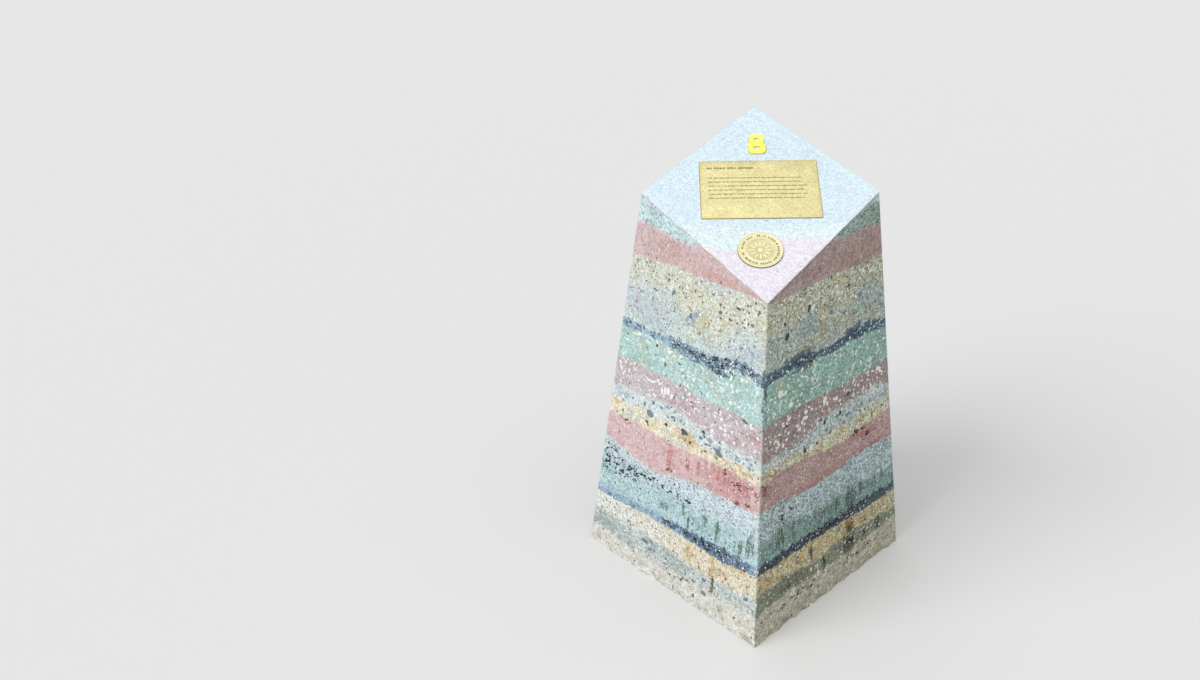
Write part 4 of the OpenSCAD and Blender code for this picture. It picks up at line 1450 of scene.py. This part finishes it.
def plate_brass():
    """Satin brass of the plate, weathered in clouds and a little dull along its edges."""
    r = Recipe("weathered_brass")
    across = place_on_cut(r, plate_middle)
    uphill = across.also("Y")
    clouds = r.step(r.grain(34, 5), 0.35, 0.65)
    specks = r.step(r.grain(240, 4), 0.3, 0.7)
    colour = r.mix(0.4 * clouds + 0.6 * specks, tone(BRASS_DULL), tone(BRASS, 1.06))
    side = r.node("ShaderNodeMath", {"operation": "ABSOLUTE"}, {0: across})
    end = r.node("ShaderNodeMath", {"operation": "ABSOLUTE"}, {0: uphill})
    rim = r.step(side * (2 / PLATE_W), 0.96, 1.0).at_least(r.step(end * (2 / PLATE_H), 0.94, 1.0))
    colour = r.mix(rim * (0.25 + 0.5 * clouds), colour, tone(BRASS_EDGE))
    spots = r.cells(150)
    spot = r.step(spots, 0.3, 0.12) * r.step(r.own(spots), 0.9, 0.93)
    colour = r.mix(spot * 0.5, colour, tone(PATINA))
    return r.finish(
        colour, 0.36 + 0.16 * clouds, r.grain(420, 3), 0.1 * MM, 0.3, Metallic=0.85
    )


def medal_brass():
    """Cast brass of the medallion, darker where it is sunk."""
    r = Recipe("cast_brass")
    outward = place_on_cut(r, medal_middle).also("Z")
    sunk = r.step(outward, MEDAL_T / 2 - 0.35 * MM, MEDAL_T / 2 - 0.9 * MM)
    clouds = r.step(r.grain(50, 4), 0.35, 0.65)
    specks = r.grain(320, 3)
    colour = r.mix(0.4 * clouds + 0.6 * specks, tone(CAST_DULL), tone(CAST_BRASS))
    colour = r.mix(sunk * (0.25 + 0.25 * clouds), colour, tone(CAST_SUNK))
    return r.finish(colour, 0.4 + 0.16 * clouds, r.grain(500, 3), 0.15 * MM, 0.4, Metallic=0.85)


def engraving_fill():
    """Dark patina in the engraved lines."""
    r = Recipe("engraving_patina")
    worn = r.grain(160, 3)
    colour = r.mix(worn, tone(ENGRAVED_DARK), tone(ENGRAVED_PALE))
    return r.finish(colour, 0.6 + 0.2 * worn, worn, 0.1 * MM, 0.3)


def enamel():
    """Bright yellow enamel of the numeral."""
    r = Recipe("yellow_enamel")
    clouds = r.grain(90, 3)
    colour = r.mix(clouds, tone(YELLOW), tone(YELLOW_PALE))
    return r.finish(colour, 0.34 + 0.12 * clouds, r.grain(300, 2), 0.08 * MM, 0.3, Coat_Weight=0.3)


def engrave(piece, marks, fill):
    """Cuts a set of marks into a piece and darkens their floors."""
    join(marks[0], marks[1:])
    cutter = marks[0]
    coat(cutter, fill)
    apply_modifier(
        piece, "BOOLEAN", object=cutter, operation="DIFFERENCE", solver="EXACT",
        material_mode="TRANSFER",
    )
    bpy.data.objects.remove(cutter)


def mark_block():
    """The block that every engraved mark is copied from, with softened upright corners."""
    bpy.ops.mesh.primitive_cube_add(size=1)
    piece = bpy.context.object
    pick_uprights(piece)
    with edit_mode(piece, "EDGE"):
        bpy.ops.mesh.bevel(offset=0.2, segments=1)
    return piece


# Rows of plain ticks on the plate, in millimetres: height on the plate, first and last place
# across it, height and width of a tick
HEADING = (50.5, -92, -8, 5.0, 2.6)
TEXT_ROWS = [(26.5 - 9.7 * row, -91, 76, 2.6, 1.3) for row in range(6)]
ENGRAVED = 0.35 * MM
# How many ticks a group has, how their widths and heights vary, and the gaps after a tick
# and after a group, as shares of a tick's width
GROUP = (2, 8)
TICK_WIDTHS = (0.6, 1.3)
TICK_HEIGHTS = (0.8, 1.15)
TICK_GAP = 0.45
GROUP_GAP = 1.2


def plate():
    """The plate: rounded corners, a soft edge, and rows of plain engraved ticks in groups."""
    bpy.ops.mesh.primitive_cube_add(size=1)
    piece = bpy.context.object
    piece.name = "engraved_plate"
    seat(piece, Matrix.Diagonal((PLATE_W, PLATE_H, PLATE_T, 1)))
    pick_uprights(piece)
    with edit_mode(piece, "EDGE"):
        bpy.ops.mesh.bevel(offset=PLATE_CORNER, segments=4)
    pick_top(piece)
    with edit_mode(piece):
        bpy.ops.mesh.bevel(offset=PLATE_EDGE, segments=3)
    coat(piece, plate_brass())
    block = mark_block()
    draw = random.Random(8)
    marks = []
    for middle, first, last, tall, wide in [HEADING] + TEXT_ROWS:
        place = first
        while place < last:
            for _ in range(draw.randint(*GROUP)):
                width = wide * draw.uniform(*TICK_WIDTHS)
                high = tall * draw.uniform(*TICK_HEIGHTS)
                size = (width * MM, high * MM, 2 * ENGRAVED, 1)
                at = Vector(((place + width / 2) * MM, middle * MM, PLATE_T / 2))
                marks.append(copy_of(block, Matrix.Translation(at) @ Matrix.Diagonal(size)))
                place += width + TICK_GAP * wide
            place += GROUP_GAP * wide
    bpy.data.objects.remove(block)
    engrave(piece, marks, engraving_fill())
    seat(piece, ON_CUT @ Matrix.Translation(plate_middle) @ Matrix.Rotation(PLATE_TURN, 4, "Z"))
    smooth(piece, 30)
    return piece


# The medallion's rings, in millimetres from its rim inwards: width, and rise of the next step
MEDAL_RINGS = [(2.4, -0.5), (10.0, 0.5), (1.6, -0.8)]
BAND_TOP = MEDAL_T / 2 - 0.5 * MM
FIELD_TOP = MEDAL_T / 2 - 0.8 * MM
# The ring of ticks: its radius, their least and greatest widths and heights in millimetres,
# the gap after each, the share of places that have one, and the chance and the turn of a
# wider gap
TICK_R = MEDAL_R - 7.4 * MM
RING_WIDTHS = (1.2, 2.6)
RING_HEIGHTS = (3.0, 4.6)
RING_GAP = 1.4 * MM
RING_FILLED = 0.85
PAUSE_CHANCE = 0.12
PAUSE_TURN = 0.12
# The petals and the boss are squashed balls: half their sizes, and how far out a petal lies
PETALS = 12
PETAL_SIZE = (2.2 * MM, 6 * MM, 0.6 * MM)
PETAL_R = 14 * MM
BOSS_SIZE = (5 * MM, 5 * MM, 1.1 * MM)


def squashed_ball(segments, rings, size, at):
    """A ball squashed to half sizes, with its middle at a place."""
    bpy.ops.mesh.primitive_uv_sphere_add(segments=segments, ring_count=rings, radius=1)
    ball = bpy.context.object
    seat(ball, Matrix.Translation(at) @ Matrix.Diagonal((*size, 1)))
    return ball


def medallion():
    """The medallion: rim, band of plain ticks, inner ring, and petals round a boss."""
    bpy.ops.mesh.primitive_cylinder_add(
        vertices=128, radius=MEDAL_R, depth=MEDAL_T, end_fill_type="NGON"
    )
    piece = bpy.context.object
    piece.name = "cast_medallion"
    pick_top(piece)
    with edit_mode(piece):
        for width, rise in MEDAL_RINGS:
            bpy.ops.mesh.inset(thickness=width * MM)
            bpy.ops.mesh.inset(thickness=0.3 * MM, depth=rise * MM)
    soften(piece, MEDAL_EDGE, 2, 30)
    brass = medal_brass()
    coat(piece, brass)
    block = mark_block()
    draw = random.Random(5)
    marks = []
    turn = 0.0
    while turn < 2 * math.pi - 0.08:
        wide = draw.uniform(*RING_WIDTHS) * MM
        tall = draw.uniform(*RING_HEIGHTS) * MM
        if draw.random() < RING_FILLED:
            spin = Matrix.Rotation(turn, 4, "Z")
            at = Matrix.Translation((0, TICK_R, BAND_TOP))
            size = Matrix.Diagonal((wide, tall, 2 * ENGRAVED, 1))
            marks.append(copy_of(block, spin @ at @ size))
        pause = PAUSE_TURN if draw.random() < PAUSE_CHANCE else 0
        turn += (wide + RING_GAP) / TICK_R + pause
    bpy.data.objects.remove(block)
    engrave(piece, marks, engraving_fill())

    # The petals, modelled once and turned round the boss
    petal = squashed_ball(14, 8, PETAL_SIZE, (0, PETAL_R, FIELD_TOP))
    petals = [copy_of(petal, Matrix.Rotation(2 * math.pi * n / PETALS, 4, "Z"), brass)
              for n in range(PETALS)]
    bpy.data.objects.remove(petal)
    boss = squashed_ball(24, 10, BOSS_SIZE, (0, 0, FIELD_TOP))
    coat(boss, brass)
    join(piece, petals + [boss])
    seat(piece, ON_CUT @ Matrix.Translation(medal_middle))
    smooth(piece, 30)
    return piece


def numeral():
    """The numeral: the plain solid with softened edges."""
    piece = grown_copy("numeral_eight", "enamel_numeral", 0)
    soften(piece, NUMERAL_EDGE, 3, 40)
    coat(piece, enamel())
    smooth(piece, 40)
    return piece


for piece, node in (
    (plate(), "brass_plate"), (medallion(), "medallion"), (numeral(), "numeral_eight"),
):
    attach(piece, "root")
    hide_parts(node)


# Floor, light and camera

# The camera, fitted to the marker's corners in the photograph
CAMERA_PLACE = (-0.18773, -1.94065, 1.56709)
CAMERA_YAW = -0.0527
CAMERA_DOWN = 0.511
CAMERA_ROLL = -0.0237
CAMERA_LENS = 34.97

# The floor and the sky, as they light the marker and as they are seen
FLOOR_SIZE = 40
FLOOR_LIT = (0.55, 0.55, 0.55, 1)
FLOOR_SEEN = (0.7, 0.7, 0.7, 1)
SKY_LIGHT = 0.36
SKY_SHOWN = 0.82

# Suns: name, direction to it, strength, width in degrees
SUNS = [
    ("key_sun", (-0.78, -0.42, 0.72), 1.62, 40),
    ("high_sun", (0.05, -0.1, 1), 1.35, 80),
]


def seen_rays(r):
    """1 for what the camera sees, also mirrored or through glass, and 0 for all other light."""
    path = r.node("ShaderNodeLightPath", {}, {}, "Is Camera Ray")
    return path.at_least(path.also("Is Glossy Ray")).at_least(path.also("Is Transmission Ray"))


def pale_floor():
    """The plain floor, a little paler to the camera than to the light that it throws back."""
    bpy.ops.mesh.primitive_plane_add(size=FLOOR_SIZE)
    floor = bpy.context.object
    floor.name = "floor"
    r = Recipe("pale_floor")
    coat(floor, r.finish(r.mix(seen_rays(r), FLOOR_LIT, FLOOR_SEEN), 0.9))


def soft_sky():
    """Even light from all round, with a pale look where it is seen."""
    r = Recipe("soft_sky", sky=True)
    light, shown = [
        r.node("ShaderNodeBackground", {}, {"Color": (1, 1, 1, 1), "Strength": strength})
        for strength in (SKY_LIGHT, SKY_SHOWN)
    ]
    sky = r.node("ShaderNodeMixShader", {}, {0: seen_rays(r), 1: light, 2: shown})
    r.node("ShaderNodeOutputWorld", {}, {"Surface": sky})
    bpy.context.scene.world = r.made


def lamps():
    """A broad key light from the left and a broader one from above."""
    for name, direction, strength, width in SUNS:
        bpy.ops.object.light_add(type="SUN", location=Vector(direction) * 3)
        lamp = bpy.context.object
        lamp.name = name
        lamp.data.energy = strength
        lamp.data.angle = math.radians(width)
        lamp.rotation_mode = "QUATERNION"
        lamp.rotation_quaternion = Vector(direction).to_track_quat("Z", "Y")


def camera():
    """The camera, where the photograph was taken from."""
    data = bpy.data.cameras.new("camera")
    placed = bpy.data.objects.new("camera", data)
    bpy.context.scene.collection.objects.link(placed)
    data.sensor_width = 36
    data.lens = CAMERA_LENS
    data.clip_end = 100
    placed.matrix_world = (
        Matrix.Translation(CAMERA_PLACE)
        @ Matrix.Rotation(-CAMERA_YAW, 4, "Z")
        @ Matrix.Rotation(math.pi / 2 - CAMERA_DOWN, 4, "X")
        @ Matrix.Rotation(CAMERA_ROLL, 4, "Z")
    )
    bpy.context.scene.camera = placed


pale_floor()
soft_sky()
lamps()
camera()
bpy.context.scene.view_settings.view_transform = "Standard"
